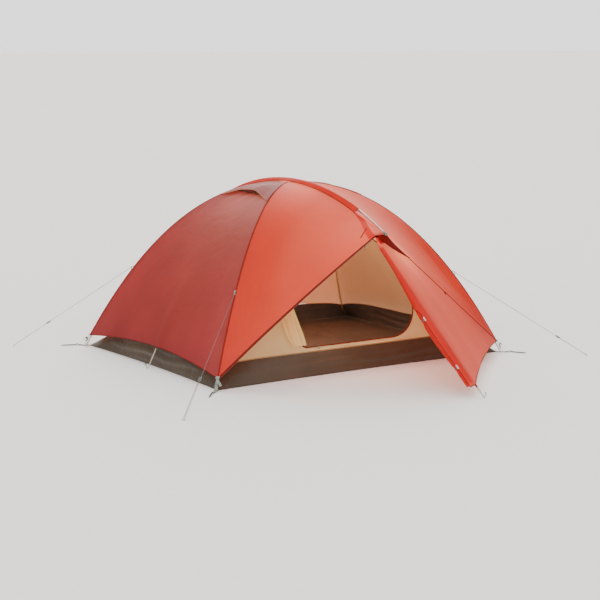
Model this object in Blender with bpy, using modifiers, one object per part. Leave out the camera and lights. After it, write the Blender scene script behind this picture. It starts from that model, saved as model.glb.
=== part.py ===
"""A three-person dome tent on bent poles, pitched, with its front door tied back.

Metres, +Z up.  The origin is on the ground at the middle of the floor, the ends of the tent lie
along X, its front door faces -Y and its rear vestibule faces +Y.

Two long poles cross over the floor on its diagonals and carry the inner tent.  The fly lies over
them, and a third, short pole runs over the crown in a sleeve and holds the two vestibule peaks.
"""

import math

import bmesh
import bpy
import numpy as np
from mathutils import Matrix, Vector

# ---- driving dimensions ---------------------------------------------------------------------

FOOT_X = 1.200            # half the distance between pole feet, along the tent
FOOT_Y = 0.950            # half the distance between pole feet, across the tent
APEX_Z = 1.2234           # height of the fly where the long poles cross
ARC_SHAPE = 2.28          # how square the shoulder of the long poles is
ARC_FALL = 0.986          # how upright their feet stand

POLE_D = 0.0095           # aluminium tube
POLE_ROOM = 0.00525       # clearance between a long pole and the fly's inner face
POLE_SECTIONS = 3         # lengths that plug together in each pole
POLE_DIP = 0.30           # share of its length over which one pole dips under the other
POLE_DIP_GAP = 0.0012     # between the two where they cross

PEAK_OVERHANG = 0.178     # how far each vestibule peak stands out beyond the pole feet
PEAK_DROP = 0.2769        # how far each peak lies below the crown
RIDGE_SHAPE = 2.108       # bend of the short ridge pole
RIDGE_TIP = 0.012         # the ridge pole's tube stops this far short of each peak
RIDGE_END_D = 0.019
RIDGE_END_L = 0.036
RIDGE_END_SHAPE = ((0.0, 0.62), (0.333, 0.62), (0.389, 1.0), (0.833, 1.0), (1.0, 0.70))
SLEEVE_REACH = 0.835      # how far the ridge sleeve runs, half length
SLEEVE_ROOM = 0.00265     # clearance between the ridge pole and its sleeve
SLEEVE_WALL = 0.0016
SLEEVE_GAP = 0.0017       # between the sleeve and the crown patch

FLY_T = 0.0025            # thickness of the fly's solids
INNER_T = 0.0020          # thickness of the inner tent's solids
FLOOR_T = 0.0025
SEAM_GAP = 0.004          # clearance between a panel's edge and its seam line
PANEL_TOP = 0.045         # front and rear panels start at this share of the way from the crown
PANEL_LOW = 0.997         # and stop short of the lower edge
TOUCH_GAP = 0.0004        # clearance between pieces that touch

HEM_CORNER_Z = 0.078      # fly hem above the ground at the pole feet
HEM_RISE = 0.066          # how much higher the end hems curve between the feet
HEM_TIE_Y = -0.060        # where the end hems are tied down, off the middle
END_SAG = 0.016           # how far the end panels pull in between their poles
SIDE_SAG = 0.012          # the same for the front and rear panels
DOOR_EDGE_BOW = 0.018     # how far the open door edge curves into its panel
DOOR_PEAK_SHIFT = 0.075   # the door's top corner lies this far left of the ridge pole

HOOD_TOP_X = 0.078        # where each vent hood hinges, from the crown
HOOD_LIP_X = 0.400        # where its lip ends
HOOD_LIFT = 0.036         # height of the vent mouth at the middle of the lip
HOOD_SIDE_LIFT = 0.007    # height of the vent mouth at the poles
VENT_EDGE_X = 0.325       # top edge of the end panel, under the hood
CROWN_R = 0.072           # round patch over the crossing
CROWN_T = 0.0022
CROWN_LIFT = 0.0011       # the patch lies this far above the panels

STAKE_X = 0.110           # front stake, from the middle
STAKE_REACH = 0.912       # front and rear stakes, out beyond the peaks
STAKE_CORD_RUN = 0.078    # from the vestibule's hem corner out to its stake
VEST_HEM_Z = 0.066
VEST_HEM_BOW = 0.030      # how far the vestibule hem curves up between its corners
VEST_TOP = 0.012          # share of the way down from the peak where its cloth starts
VEST_LOW = 0.995          # and where it ends
VEST_SEAM = 0.992         # share of the way across to the seam with the panel above
ROLL_D = 0.070            # the tied-back door, rolled up behind the panel's front edge
ROLL_TOP = 0.35           # its top is this much thinner
ROLL_GAP = 0.003
ROLL_START = 0.075        # shares of the way down the panel's front edge
ROLL_STOP = 0.975
ROLL_ASIDE = 1.0          # how far the roll lies aside of the edge at its top, in its radii
ROLL_TUCK = -0.15         # and at its foot

INNER_INSET = 0.050       # inner tent in from the pole feet
INNER_DROP = 0.0584       # inner tent's crown below the fly's
INNER_SAG = 0.030
INNER_TOP = 0.045         # the walls stop this share of the way from the apex
FLOOR_INSET_X = 0.032     # floor corners in from the pole feet
FLOOR_INSET_Y = 0.026
FLOOR_PULL = 0.030        # how far the floor's sides curve in
RIM_Z = 0.158             # height of the floor's raised edge
RIM_CORNER_Z = 0.012
RIM_SHAPE = 8
RIM_GAP = 0.010           # inner walls start this far above the rim

DOOR_X = 0.030            # middle of the inner door
DOOR_HALF = 0.525
DOOR_SILL_Z = 0.184
DOOR_SPRING_Z = 0.430     # the door's sides curve in above this
DOOR_TOP_DROP = 0.200     # top of the door below the inner tent's crown
DOOR_CORNER_R = 0.170
GATHER_D = 0.056          # the open inner door, gathered beside its opening
GATHER_LOW_Z = 0.225
GATHER_HIGH_Z = 0.80
GATHER_ASIDE = 0.055      # from the edge of the opening
GATHER_OFF = (0.0, -0.036, 0.012)   # off the wall
GATHER_SHAPE = (1.0, 1.15, 1.1, 0.9, 0.6, 0.75, 0.8, 0.7, 0.55, 0.35)

WEB_W = 0.020             # corner webbing
WEB_T = 0.0018
WEB_OUT = 0.052           # webbing's length outside the pole foot
WEB_CLEAR = 0.0035        # slanting webbing, outside the pole foot
WEB_TOP_DROP = 0.006      # its top end below the fly's hem
WEB_FLOOR_GAP = 0.004
BUCKLE_L = 0.026
BUCKLE_W = 0.027
BUCKLE_H = 0.0066
BUCKLE_WALL = 0.0020
BUCKLE_AT = 0.58          # share of the way up the slanting webbing
PEG_D = 0.0075
PEG_L = 0.120
PEG_HEAD_L = 0.045        # what stands out of the ground of a peg that is driven in
PEG_WIRE_D = 0.0045       # the driven pegs are bent wire
PEG_HOOK_R = 0.006
PEG_RISE = 1.6            # slope of a driven peg
PEG_GAP = 0.006           # between the webbing's end and a peg that lies flat
PEG_TAPER = 0.022

GUY_D = 0.003
GUY_LOOP_R = 0.007        # ground loop, to the middle of the cord
GUY_SPREAD_L = 0.030      # the strands draw together over this length above the loop
GUY_LANE = 0.0030         # half the distance between the two strands in a runner
RUNNER_L = 0.032
RUNNER_W = 0.017
RUNNER_H = 0.010
RUNNER_WALL = 0.0024
RUNNER_GRIP = 0.42        # share of the runner's length the returning strand reaches in
GUY_OFF = (0.010, 0.006)  # first point of a guy line, out from the fly and up
TIE_OUT = 0.010           # top of a hem tie, out from the hem
TIE_DROP = 0.008
TIE_HOOK = (0.006, 0.012) # a tie's end on its peg, in from the peg and up
HEM_PEG_OUT = 0.012       # end pegs, out beyond the pole feet

FLY_SLIDER = (0.016, 0.011, 0.007, 0.0018)     # length, width, height and wall
FLY_SLIDER_AT = 0.94      # share of the way up the door's edge
FLY_SLIDER_OFF = 0.010
INNER_SLIDER = (0.014, 0.009, 0.006, 0.0016)
INNER_SLIDER_OFF = (0.0, -0.006, 0.008)

CORNERS = {
    "front_left": (-1, -1),
    "front_right": (1, -1),
    "rear_left": (-1, 1),
    "rear_right": (1, 1),
}
# Guy lines: share of the pole from the crown, ground end out from the pole foot, and the runner's
# distance from that end.
GUYS = {
    "front_left": (0.755, (-0.556, -0.570), 0.390),
    "front_right": (0.762, (0.417, -0.431), 0.245),
    "rear_left": (0.757, (-0.449, 0.263), 0.316),
    "rear_right": (0.757, (0.520, 0.480), 0.300),
}
PEG_TURN = {"front_left": 230, "front_right": 302, "rear_left": 158, "rear_right": 22}

# ---- sizes that follow from the driving dimensions ------------------------------------------

POLE_DEPTH = FLY_T + POLE_ROOM + POLE_D / 2          # pole centre below the fly's outer face
SLEEVE_R = POLE_D / 2 + SLEEVE_ROOM + SLEEVE_WALL
RIDGE_RISE = CROWN_LIFT + CROWN_T + SLEEVE_GAP + SLEEVE_R   # ridge pole above the fly
PEAK_Y = FOOT_Y + PEAK_OVERHANG
PEAK_Z = APEX_Z - PEAK_DROP
STAKE_Y = PEAK_Y + STAKE_REACH
VEST_HEM_Y = STAKE_Y - STAKE_CORD_RUN
INNER_X = FOOT_X - INNER_INSET
INNER_Y = FOOT_Y - INNER_INSET
INNER_APEX_Z = APEX_Z - INNER_DROP
FLOOR_X = FOOT_X - FLOOR_INSET_X
FLOOR_Y = FOOT_Y - FLOOR_INSET_Y
DOOR_TOP_Z = INNER_APEX_Z - DOOR_TOP_DROP

# ---- finishes -------------------------------------------------------------------------------

FINISHES = {
    "fly_dark": ((0.42, 0.085, 0.075), 0.62, 0.0),
    "fly_red": ((0.66, 0.075, 0.040), 0.55, 0.0),
    "inner_tan": ((0.66, 0.42, 0.19), 0.80, 0.0),
    "floor_brown": ((0.085, 0.052, 0.036), 0.60, 0.0),
    "alloy_tube": ((0.78, 0.79, 0.80), 0.30, 1.0),
    "webbing": ((0.30, 0.31, 0.29), 0.85, 0.0),
    "grey_plastic": ((0.46, 0.47, 0.45), 0.45, 0.0),
    "peg_steel": ((0.42, 0.43, 0.42), 0.35, 1.0),
    "guy_cord": ((0.60, 0.60, 0.60), 0.85, 0.0),
    "strap_cord": ((0.10, 0.10, 0.10), 0.85, 0.0),
}


def finish(name):
    """The shared Principled material of that name."""
    material = bpy.data.materials.get(name)
    if material is None:
        colour, roughness, metallic = FINISHES[name]
        material = bpy.data.materials.new(name)
        material.use_nodes = True
        shader = material.node_tree.nodes["Principled BSDF"]
        shader.inputs["Base Color"].default_value = (*colour, 1.0)
        shader.inputs["Roughness"].default_value = roughness
        shader.inputs["Metallic"].default_value = metallic
    return material


# ---- scene helpers --------------------------------------------------------------------------


def clear_scene():
    for obj in list(bpy.data.objects):
        bpy.data.objects.remove(obj)


def new_collection(name, hidden=False):
    collection = bpy.data.collections.new(name)
    collection.hide_render = hidden
    bpy.context.scene.collection.children.link(collection)
    return collection


def add_object(name, data, material, collection):
    obj = bpy.data.objects.new(name, data)
    data.materials.append(finish(material))
    collection.objects.link(obj)
    return obj


def unit(vector):
    return vector / np.linalg.norm(vector)


def lerp(a, b, t):
    return a + (b - a) * t


def smoothstep(low, high, x):
    t = min(max((x - low) / (high - low), 0.0), 1.0)
    return t * t * (3 - 2 * t)


# ---- shape of the tent ----------------------------------------------------------------------


def arc_z(s, apex=APEX_Z):
    """Height of a long pole's arc at share s of the way from the crown to its foot."""
    return apex * (1 - min(abs(s), 1.0) ** ARC_SHAPE) ** ARC_FALL


def arc_share(z, apex=APEX_Z):
    """The share s at which the arc has height z."""
    return (1 - (z / apex) ** (1 / ARC_FALL)) ** (1 / ARC_SHAPE)


def leg(s, sx, sy):
    """Point of the fly's seam over a long pole."""
    return np.array([s * sx * FOOT_X, s * sy * FOOT_Y, arc_z(s)])


def ridge(s, sy):
    """Point of the fly under the ridge pole, from the crown (0) to a vestibule peak (1)."""
    return np.array([0.0, sy * s * PEAK_Y, APEX_Z - (APEX_Z - PEAK_Z) * s**RIDGE_SHAPE])


def hem_share(w):
    """Share s of an end panel's hem at w, from -1 to 1 between its two poles."""
    return arc_share(HEM_CORNER_Z + HEM_RISE * (1 - w * w))


FOOT_SHARE = arc_share(HEM_CORNER_Z)


def end_point(sx, s, w, sag=END_SAG, half_x=FOOT_X, half_y=FOOT_Y, apex=APEX_Z):
    """Point of an end panel: straight across between two poles, pulled in at its middle."""
    step = 0.004
    rise = arc_z(s + step, apex) - arc_z(s - step, apex)
    out = unit(np.array([-rise * sx, 0.0, 2 * step * half_x]))
    pull = sag * (1 - w * w) * math.sin(math.pi * min(s, 1.0)) ** 0.7
    return np.array([sx * s * half_x, w * s * half_y, arc_z(s, apex)]) - out * pull


def side_top(s, sx, sy):
    """The ridge edge of a front or rear panel.  The open door's corner lies left of the ridge."""
    point = ridge(s, sy)
    if sy < 0 and sx < 0:
        point[0] -= DOOR_PEAK_SHIFT * smoothstep(0.72, 1.0, s)
    return point


def door_edge(u, sx, sy):
    """Lower edge of a front or rear panel, from its pole foot (0) to the peak (1)."""
    foot, peak = leg(FOOT_SHARE, sx, sy), side_top(1.0, sx, sy)
    inside = lerp(leg(0.9 * FOOT_SHARE, sx, sy), side_top(0.9, sx, sy), 0.5) - lerp(foot, peak, 0.5)
    along = unit(peak - foot)
    into_panel = unit(inside - along * inside.dot(along))
    bow = DOOR_EDGE_BOW if sx < 0 and sy < 0 else 0.0
    return lerp(foot, peak, u) + into_panel * bow * 4 * u * (1 - u)


def side_point(sx, sy, u, v):
    """Point of a front or rear panel: u from pole to ridge, v from the crown to the lower edge."""
    top = side_top(v, sx, sy)
    low = leg(v * FOOT_SHARE, sx, sy)
    point = lerp(low, top, u) + v**6 * (door_edge(u, sx, sy) - lerp(
        leg(FOOT_SHARE, sx, sy), side_top(1.0, sx, sy), u))
    pull = SIDE_SAG * 4 * u * (1 - u) * math.sin(math.pi * v) ** 0.8
    away = unit(np.array([sx * 0.45, sy * 0.75, 0.55]))
    return point - away * pull


def hood_point(sx, s, w):
    """Point of a vent hood: the end panel's own shape, lifted towards the lip."""
    point = end_point(sx, s, w)
    rise = smoothstep(HOOD_TOP_X / FOOT_X, HOOD_LIP_X / FOOT_X, s)
    lift = 0.002 + rise * (HOOD_SIDE_LIFT + (HOOD_LIFT - HOOD_SIDE_LIFT) * (1 - w * w) ** 1.3)
    return point + np.array([sx * 0.25 * lift, 0.0, lift])


def vestibule_point(sx, sy, u, v):
    """Point of a vestibule half: u from its front edge to the seam, v from the peak to the hem."""
    peak = ridge(1.0, sy)
    foot = leg(FOOT_SHARE, sx, sy)
    stake_x = STAKE_X if sy < 0 else 0.0
    front = np.array([stake_x, sy * VEST_HEM_Y, VEST_HEM_Z])
    start = side_top(1.0, -1, sy)
    edge = lerp(start, front, v)
    seam = lerp(peak, foot, v)
    return lerp(edge, seam, u)


def inner_end_point(sx, s, w):
    return end_point(sx, s, w, INNER_SAG, INNER_X, INNER_Y, INNER_APEX_Z)


def inner_side_point(sy, s, w):
    """Point of the inner tent's front or rear wall."""
    swapped = end_point(sy, s, w, INNER_SAG, INNER_Y, INNER_X, INNER_APEX_Z)
    return np.array([swapped[1], swapped[0], swapped[2]])


def rim_height(w):
    return RIM_CORNER_Z + (RIM_Z - RIM_CORNER_Z) * (1 - abs(w) ** RIM_SHAPE)


# ---- builders -------------------------------------------------------------------------------


def sheet(name, surface, segments, thickness, material, collection):
    """A panel: a grid laid on surface(u, v) and thickened towards the inside of the tent."""
    bm = bmesh.new()
    bmesh.ops.create_grid(bm, x_segments=segments[0], y_segments=segments[1], size=0.5)
    for vert in bm.verts:
        vert.co = Vector(surface(vert.co.x + 0.5, vert.co.y + 0.5))
    bm.normal_update()
    outward = sum(face.normal.dot(face.calc_center_median() - Vector((0, 0, 0.3)))
                  * face.calc_area() for face in bm.faces)
    if outward < 0:
        bmesh.ops.reverse_faces(bm, faces=bm.faces)
    mesh = bpy.data.meshes.new(name)
    bm.to_mesh(mesh)
    bm.free()
    mesh.shade_smooth()
    obj = add_object(name, mesh, material, collection)
    thicken = obj.modifiers.new("thickness", "SOLIDIFY")
    thicken.thickness = thickness
    thicken.offset = -1
    thicken.use_even_offset = True
    return obj


def tube(name, points, diameter, material, collection, radii=None, sides=2):
    """A round bar, cord or roll along points, with filled caps."""
    data = bpy.data.curves.new(name, "CURVE")
    data.dimensions = "3D"
    data.bevel_depth = diameter / 2
    data.bevel_resolution = sides
    data.use_fill_caps = True
    spline = data.splines.new("POLY")
    spline.points.add(len(points) - 1)
    for index, point in enumerate(points):
        spline.points[index].co = (*point, 1.0)
        spline.points[index].radius = radii[index] if radii else 1.0
    return add_object(name, data, material, collection)


def outline_plate(name, outline, half_depth, material, collection, frame):
    """A flat outline, given in the two first axes of frame, thickened along its third."""
    data = bpy.data.curves.new(name, "CURVE")
    data.dimensions = "2D"
    data.fill_mode = "BOTH"
    data.extrude = half_depth
    spline = data.splines.new("POLY")
    spline.points.add(len(outline) - 1)
    for index, (x, y) in enumerate(outline):
        spline.points[index].co = (x, y, 0.0, 1.0)
    spline.use_cyclic_u = True
    obj = add_object(name, data, material, collection)
    obj.matrix_world = frame
    return obj


def frame_at(origin, x_axis, y_axis):
    """A placement whose first two axes are x_axis and, as near as it can be, y_axis."""
    first = unit(np.array(x_axis, float))
    third = unit(np.cross(first, np.array(y_axis, float)))
    second = np.cross(third, first)
    matrix = Matrix.Identity(4)
    for column, axis in enumerate((first, second, third)):
        for row in range(3):
            matrix[row][column] = axis[row]
    matrix.translation = Vector(origin)
    return matrix


def box_ring(name, length, width, height, wall, material, collection, frame):
    """A short rectangular ring, open along its first axis, such as a runner or a buckle."""
    bm = bmesh.new()
    bmesh.ops.create_cube(bm, size=1.0)
    for vert in bm.verts:
        vert.co = Vector((vert.co.x * length, vert.co.y * width, vert.co.z * height))
    ends = [face for face in bm.faces if abs(face.normal.x) > 0.9]
    bmesh.ops.delete(bm, geom=ends, context="FACES_ONLY")
    mesh = bpy.data.meshes.new(name)
    bm.to_mesh(mesh)
    bm.free()
    obj = add_object(name, mesh, material, collection)
    obj.matrix_world = frame
    thicken = obj.modifiers.new("wall", "SOLIDIFY")
    thicken.thickness = wall
    thicken.offset = -1
    thicken.use_even_offset = True
    return obj


# ---- poles ----------------------------------------------------------------------------------


def pole_axis(t, sx, sy, under):
    """Centre line of a long pole at t, from -1 at one foot to 1 at the other."""
    s, side = abs(t), 1 if t >= 0 else -1
    reach = math.hypot(FOOT_X, FOOT_Y)
    step = 0.002
    rise = (arc_z(min(s + step, 1.0)) - arc_z(max(s - step, 0.0)))
    run = (min(s + step, 1.0) - max(s - step, 0.0)) * reach
    out = unit(np.array([-rise, run]))
    depth = POLE_DEPTH + under * (POLE_D + POLE_DIP_GAP) * max(1 - (s / POLE_DIP) ** 2, 0.0) ** 2
    radius = s * reach - out[0] * depth
    height = arc_z(s) - out[1] * depth
    if s < step:
        radius = 0.0
    return np.array([side * sx * radius * FOOT_X / reach, side * sy * radius * FOOT_Y / reach, height])


def main_pole(name, sx, sy, under, collection):
    """One long pole, plugged together from sections, standing on its two corner tabs."""
    foot = 0.9990
    while pole_axis(foot, sx, sy, under)[2] < WEB_T + TOUCH_GAP + POLE_D / 3:
        foot -= 0.0002
    shares = [lerp(foot, -foot, math.sin((k / 60 - 0.5) * math.pi) / 2 + 0.5) for k in range(61)]
    line = np.array([pole_axis(t, sx, sy, under) for t in shares])
    walked = np.concatenate([[0], np.cumsum(np.linalg.norm(np.diff(line, axis=0), axis=1))])
    length = walked[-1]
    for section in range(POLE_SECTIONS):
        start = section * length / POLE_SECTIONS + (2 * TOUCH_GAP if section else 0.0)
        stop = (section + 1) * length / POLE_SECTIONS
        stops = np.linspace(start, stop, 17)
        points = [[np.interp(d, walked, line[:, axis]) for axis in range(3)] for d in stops]
        tube(f"{name}_section_{section + 1}", points, POLE_D, "alloy_tube", collection)


def ridge_axis(y):
    """Centre line of the ridge pole over the fly, at y."""
    s = abs(y) / PEAK_Y
    point = ridge(s, 1 if y >= 0 else -1)
    return np.array([0.0, y, point[2] + RIDGE_RISE])


def ridge_pole(collection):
    end = PEAK_Y - RIDGE_TIP
    cuts = [-end, -end / 3, end / 3, end]
    for index, part in enumerate(("front", "middle", "rear")):
        start = cuts[index] + (2 * TOUCH_GAP if index else 0.0)
        points = [ridge_axis(y) for y in np.linspace(start, cuts[index + 1], 9)]
        tube(f"ridge_pole_{part}", points, POLE_D, "alloy_tube", collection)
    for part, sy in (("front", -1), ("rear", 1)):
        first = ridge_axis(sy * (end + TOUCH_GAP))
        along = unit(first - ridge_axis(sy * (end - 0.02)))
        stops, radii = zip(*RIDGE_END_SHAPE)
        tube(f"ridge_end_{part}", [first + along * share * RIDGE_END_L for share in stops],
             RIDGE_END_D, "grey_plastic", collection, radii=radii)


def ridge_sleeve(collection):
    """The open-ended sleeve that holds the ridge pole along the fly."""
    data = bpy.data.curves.new("ridge_sleeve", "CURVE")
    data.dimensions = "3D"
    data.bevel_depth = SLEEVE_R
    data.bevel_resolution = 2
    spline = data.splines.new("POLY")
    stops = np.linspace(-SLEEVE_REACH, SLEEVE_REACH, 21)
    spline.points.add(len(stops) - 1)
    for index, y in enumerate(stops):
        spline.points[index].co = (*ridge_axis(y), 1.0)
    obj = add_object("ridge_sleeve", data, "fly_red", collection)
    wall = obj.modifiers.new("wall", "SOLIDIFY")
    wall.thickness = SLEEVE_WALL
    wall.offset = -1


# ---- fly ------------------------------------------------------------------------------------


def inset_share(value, length, gap):
    """Moves a 0 to 1 share in from both ends of a length by a gap."""
    edge = min(gap / max(length, 1e-6), 0.45)
    return lerp(edge, 1 - edge, value)


def fly(collection):
    top = VENT_EDGE_X / FOOT_X
    for side, sx in (("left", -1), ("right", 1)):

        def end_panel(u, v, sx=sx):
            w = 2 * u - 1
            s = lerp(top, hem_share(w), v)
            w *= 1 - SEAM_GAP / (s * FOOT_Y)
            return end_point(sx, s, w)

        def hood(u, v, sx=sx):
            w = 2 * u - 1
            s = lerp(HOOD_TOP_X, HOOD_LIP_X, v) / FOOT_X
            w *= 1 - SEAM_GAP / (s * FOOT_Y)
            return hood_point(sx, s, w)

        sheet(f"fly_end_{side}", end_panel, (10, 12), FLY_T, "fly_dark", collection)
        sheet(f"vent_hood_{side}", hood, (8, 5), FLY_T, "fly_dark", collection)

    for end, sy in (("front", -1), ("rear", 1)):
        for side, sx in (("left", -1), ("right", 1)):

            def side_panel(u, v, sx=sx, sy=sy):
                v = lerp(PANEL_TOP, PANEL_LOW, v)
                span = np.linalg.norm(leg(v * FOOT_SHARE, sx, sy) - side_top(v, sx, sy))
                return side_point(sx, sy, inset_share(u, span, SEAM_GAP), v)

            sheet(f"fly_{end}_{side}", side_panel, (10, 12), FLY_T, "fly_red", collection)

    bm = bmesh.new()
    bmesh.ops.create_cone(bm, cap_ends=True, segments=24, radius1=CROWN_R, radius2=CROWN_R,
                          depth=CROWN_T)
    mesh = bpy.data.meshes.new("fly_crown")
    bm.to_mesh(mesh)
    bm.free()
    crown = add_object("fly_crown", mesh, "fly_red", collection)
    crown.location = (0, 0, APEX_Z + CROWN_LIFT + CROWN_T / 2)


def vestibules(collection):
    def hem_limit(u):
        return VEST_LOW - VEST_HEM_BOW * 4 * u * (1 - u)

    def front_panel(u, v):
        u = lerp(0.0, VEST_SEAM, u)
        return vestibule_point(1, -1, u, lerp(VEST_TOP, hem_limit(u), v))

    sheet("vestibule_front_panel", front_panel, (8, 10), FLY_T, "fly_red", collection)

    def rear_panel(u, v):
        w = 2 * u - 1
        across = min(abs(w), 1.0) * VEST_SEAM
        return vestibule_point(1 if w > 0 else -1, 1, across, lerp(VEST_TOP, hem_limit(across), v))

    sheet("vestibule_rear_panel", rear_panel, (16, 10), FLY_T, "fly_red", collection)

    start = vestibule_point(1, -1, 0.0, ROLL_START)
    stop = vestibule_point(1, -1, 0.0, ROLL_STOP)
    along = unit(stop - start)
    inward = unit(np.cross(vestibule_point(1, -1, 1.0, 1.0) - start, along))
    aside = np.cross(along, inward)
    shares = np.linspace(0, 1, 12)
    radii = [lerp(ROLL_TOP, 1.0, smoothstep(0, 0.7, t)) for t in shares]
    tuck = [lerp(ROLL_ASIDE, ROLL_TUCK, smoothstep(0.2, 0.8, t)) for t in shares]
    points = [lerp(start, stop, t) + (inward * radius + aside * radius * behind) * ROLL_D / 2
              + inward * (FLY_T + ROLL_GAP) for t, radius, behind in zip(shares, radii, tuck)]
    tube("rolled_door", points, ROLL_D, "fly_red", collection, radii=radii)


# ---- inner tent -----------------------------------------------------------------------------


def floor_edge(w, side):
    """Ground point on one side of the floor, w from -1 to 1; sides run round the floor."""
    pull = FLOOR_PULL * (1 - w * w)
    return {
        "front": (w * FLOOR_X, -(FLOOR_Y - pull)),
        "right": (FLOOR_X - pull, w * FLOOR_Y),
        "rear": (-w * FLOOR_X, FLOOR_Y - pull),
        "left": (-(FLOOR_X - pull), -w * FLOOR_Y),
    }[side]


def rim_point(w, side):
    """Top edge of the floor's wall above floor_edge."""
    height = rim_height(w)
    x, y = floor_edge(w, side)
    share = arc_share(height, INNER_APEX_Z)
    if side in ("front", "rear"):
        sy = -1 if side == "front" else 1
        wall = inner_side_point(sy, share, w if side == "front" else -w)
    else:
        sx = 1 if side == "right" else -1
        wall = inner_end_point(sx, share, w if side == "right" else -w)
    reach = smoothstep(0, 1, (height - RIM_CORNER_Z) / (RIM_Z - RIM_CORNER_Z))
    return lerp(np.array([x, y, height]), wall, reach)


def inner_floor(collection):
    """The groundsheet with its raised edges, open at the top."""
    bm = bmesh.new()
    ground, rim = [], []
    for side in ("front", "right", "rear", "left"):
        for k in range(16):
            w = math.sin((k / 16 - 0.5) * math.pi)
            x, y = floor_edge(w, side)
            ground.append(bm.verts.new((x, y, 0.0)))
            rim.append(bm.verts.new(rim_point(w, side)))
    count = len(ground)
    bm.faces.new(list(reversed(ground)))
    for k in range(count):
        after = (k + 1) % count
        bm.faces.new((ground[k], ground[after], rim[after], rim[k]))
    mesh = bpy.data.meshes.new("inner_floor")
    bm.to_mesh(mesh)
    bm.free()
    obj = add_object("inner_floor", mesh, "floor_brown", collection)
    thicken = obj.modifiers.new("thickness", "SOLIDIFY")
    thicken.thickness = FLOOR_T
    thicken.offset = -1
    thicken.use_even_offset = True


def door_outline():
    """The inner door's D, as (x, z): a straight sill, round lower corners and a round top."""
    left, right = DOOR_X - DOOR_HALF, DOOR_X + DOOR_HALF
    points = []
    for k in range(7):
        turn = math.radians(lerp(-90, 0, k / 6))
        points.append((right - DOOR_CORNER_R + DOOR_CORNER_R * math.cos(turn),
                       DOOR_SILL_Z + DOOR_CORNER_R + DOOR_CORNER_R * math.sin(turn)))
    for k in range(17):
        turn = math.radians(lerp(0, 180, k / 16))
        points.append((DOOR_X + DOOR_HALF * math.cos(turn),
                       DOOR_SPRING_Z + (DOOR_TOP_Z - DOOR_SPRING_Z) * math.sin(turn)))
    for k in range(7):
        turn = math.radians(lerp(180, 270, k / 6))
        points.append((left + DOOR_CORNER_R + DOOR_CORNER_R * math.cos(turn),
                       DOOR_SILL_Z + DOOR_CORNER_R + DOOR_CORNER_R * math.sin(turn)))
    return points


def mesh_from_curve(obj, collection):
    """The object's evaluated mesh as a new, welded mesh object in its place."""
    bpy.context.view_layer.update()
    graph = bpy.context.evaluated_depsgraph_get()
    mesh = bpy.data.meshes.new_from_object(obj.evaluated_get(graph))
    bm = bmesh.new()
    bm.from_mesh(mesh)
    bmesh.ops.remove_doubles(bm, verts=bm.verts, dist=1e-5)
    bmesh.ops.recalc_face_normals(bm, faces=bm.faces)
    bm.to_mesh(mesh)
    bm.free()
    made = bpy.data.objects.new(obj.name + "_mesh", mesh)
    made.matrix_world = obj.matrix_world
    collection.objects.link(made)
    bpy.data.objects.remove(obj)
    return made


def inner_walls(collection, cutters):
    for side, sx in (("left", -1), ("right", 1)):

        def wall(u, v, sx=sx):
            w = 2 * u - 1
            low = arc_share(rim_height(w) + RIM_GAP, INNER_APEX_Z)
            s = lerp(INNER_TOP, low, v)
            w *= 1 - SEAM_GAP / (s * INNER_Y)
            return inner_end_point(sx, s, w)

        sheet(f"inner_wall_{side}", wall, (12, 10), INNER_T, "inner_tan", collection)

    for side, sy in (("front", -1), ("rear", 1)):

        def wall(u, v, sy=sy):
            w = 2 * u - 1
            low = arc_share(rim_height(w) + RIM_GAP, INNER_APEX_Z)
            s = lerp(INNER_TOP, low, v)
            w *= 1 - SEAM_GAP / (s * INNER_X)
            return inner_side_point(sy, s, w)

        sheet(f"inner_wall_{side}", wall, (14, 12), INNER_T, "inner_tan", collection)

    plane = frame_at((0, -INNER_Y / 2, 0), (1, 0, 0), (0, 0, 1))
    cutter = outline_plate("door_cutter_outline", door_outline(), 0.60, "inner_tan", cutters, plane)
    cutter = mesh_from_curve(cutter, cutters)
    cutter.location.y = -0.65
    cutter.hide_render = True
    cutter.display_type = "WIRE"
    front = bpy.data.objects["inner_wall_front"]
    cut = front.modifiers.new("door", "BOOLEAN")
    cut.object = cutter
    cut.operation = "DIFFERENCE"
    cut.solver = "EXACT"


def inner_door(collection):
    """The open inner door, gathered and tied along the left side of its opening."""
    heights = np.linspace(GATHER_LOW_Z, GATHER_HIGH_Z, len(GATHER_SHAPE))
    points = []
    for height in heights:
        share = arc_share(height, INNER_APEX_Z)
        x = DOOR_X - DOOR_HALF - GATHER_ASIDE
        points.append(inner_side_point(-1, share, x / (share * INNER_X)) + np.array(GATHER_OFF))
    tube("inner_door", points, GATHER_D, "inner_tan", collection, radii=GATHER_SHAPE)


# ---- corners, guy lines and pegs ------------------------------------------------------------


def radial(sx, sy):
    return unit(np.array([sx * FOOT_X, sy * FOOT_Y, 0.0]))


def corner_strap_line():
    """The slanting webbing of a corner, in (distance from the middle, height)."""
    reach = math.hypot(FOOT_X, FOOT_Y)
    low = np.array([reach + WEB_CLEAR, WEB_T])
    high = np.array([FOOT_SHARE * reach + WEB_CLEAR + 0.001, HEM_CORNER_Z - WEB_TOP_DROP])
    return low, high


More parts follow.
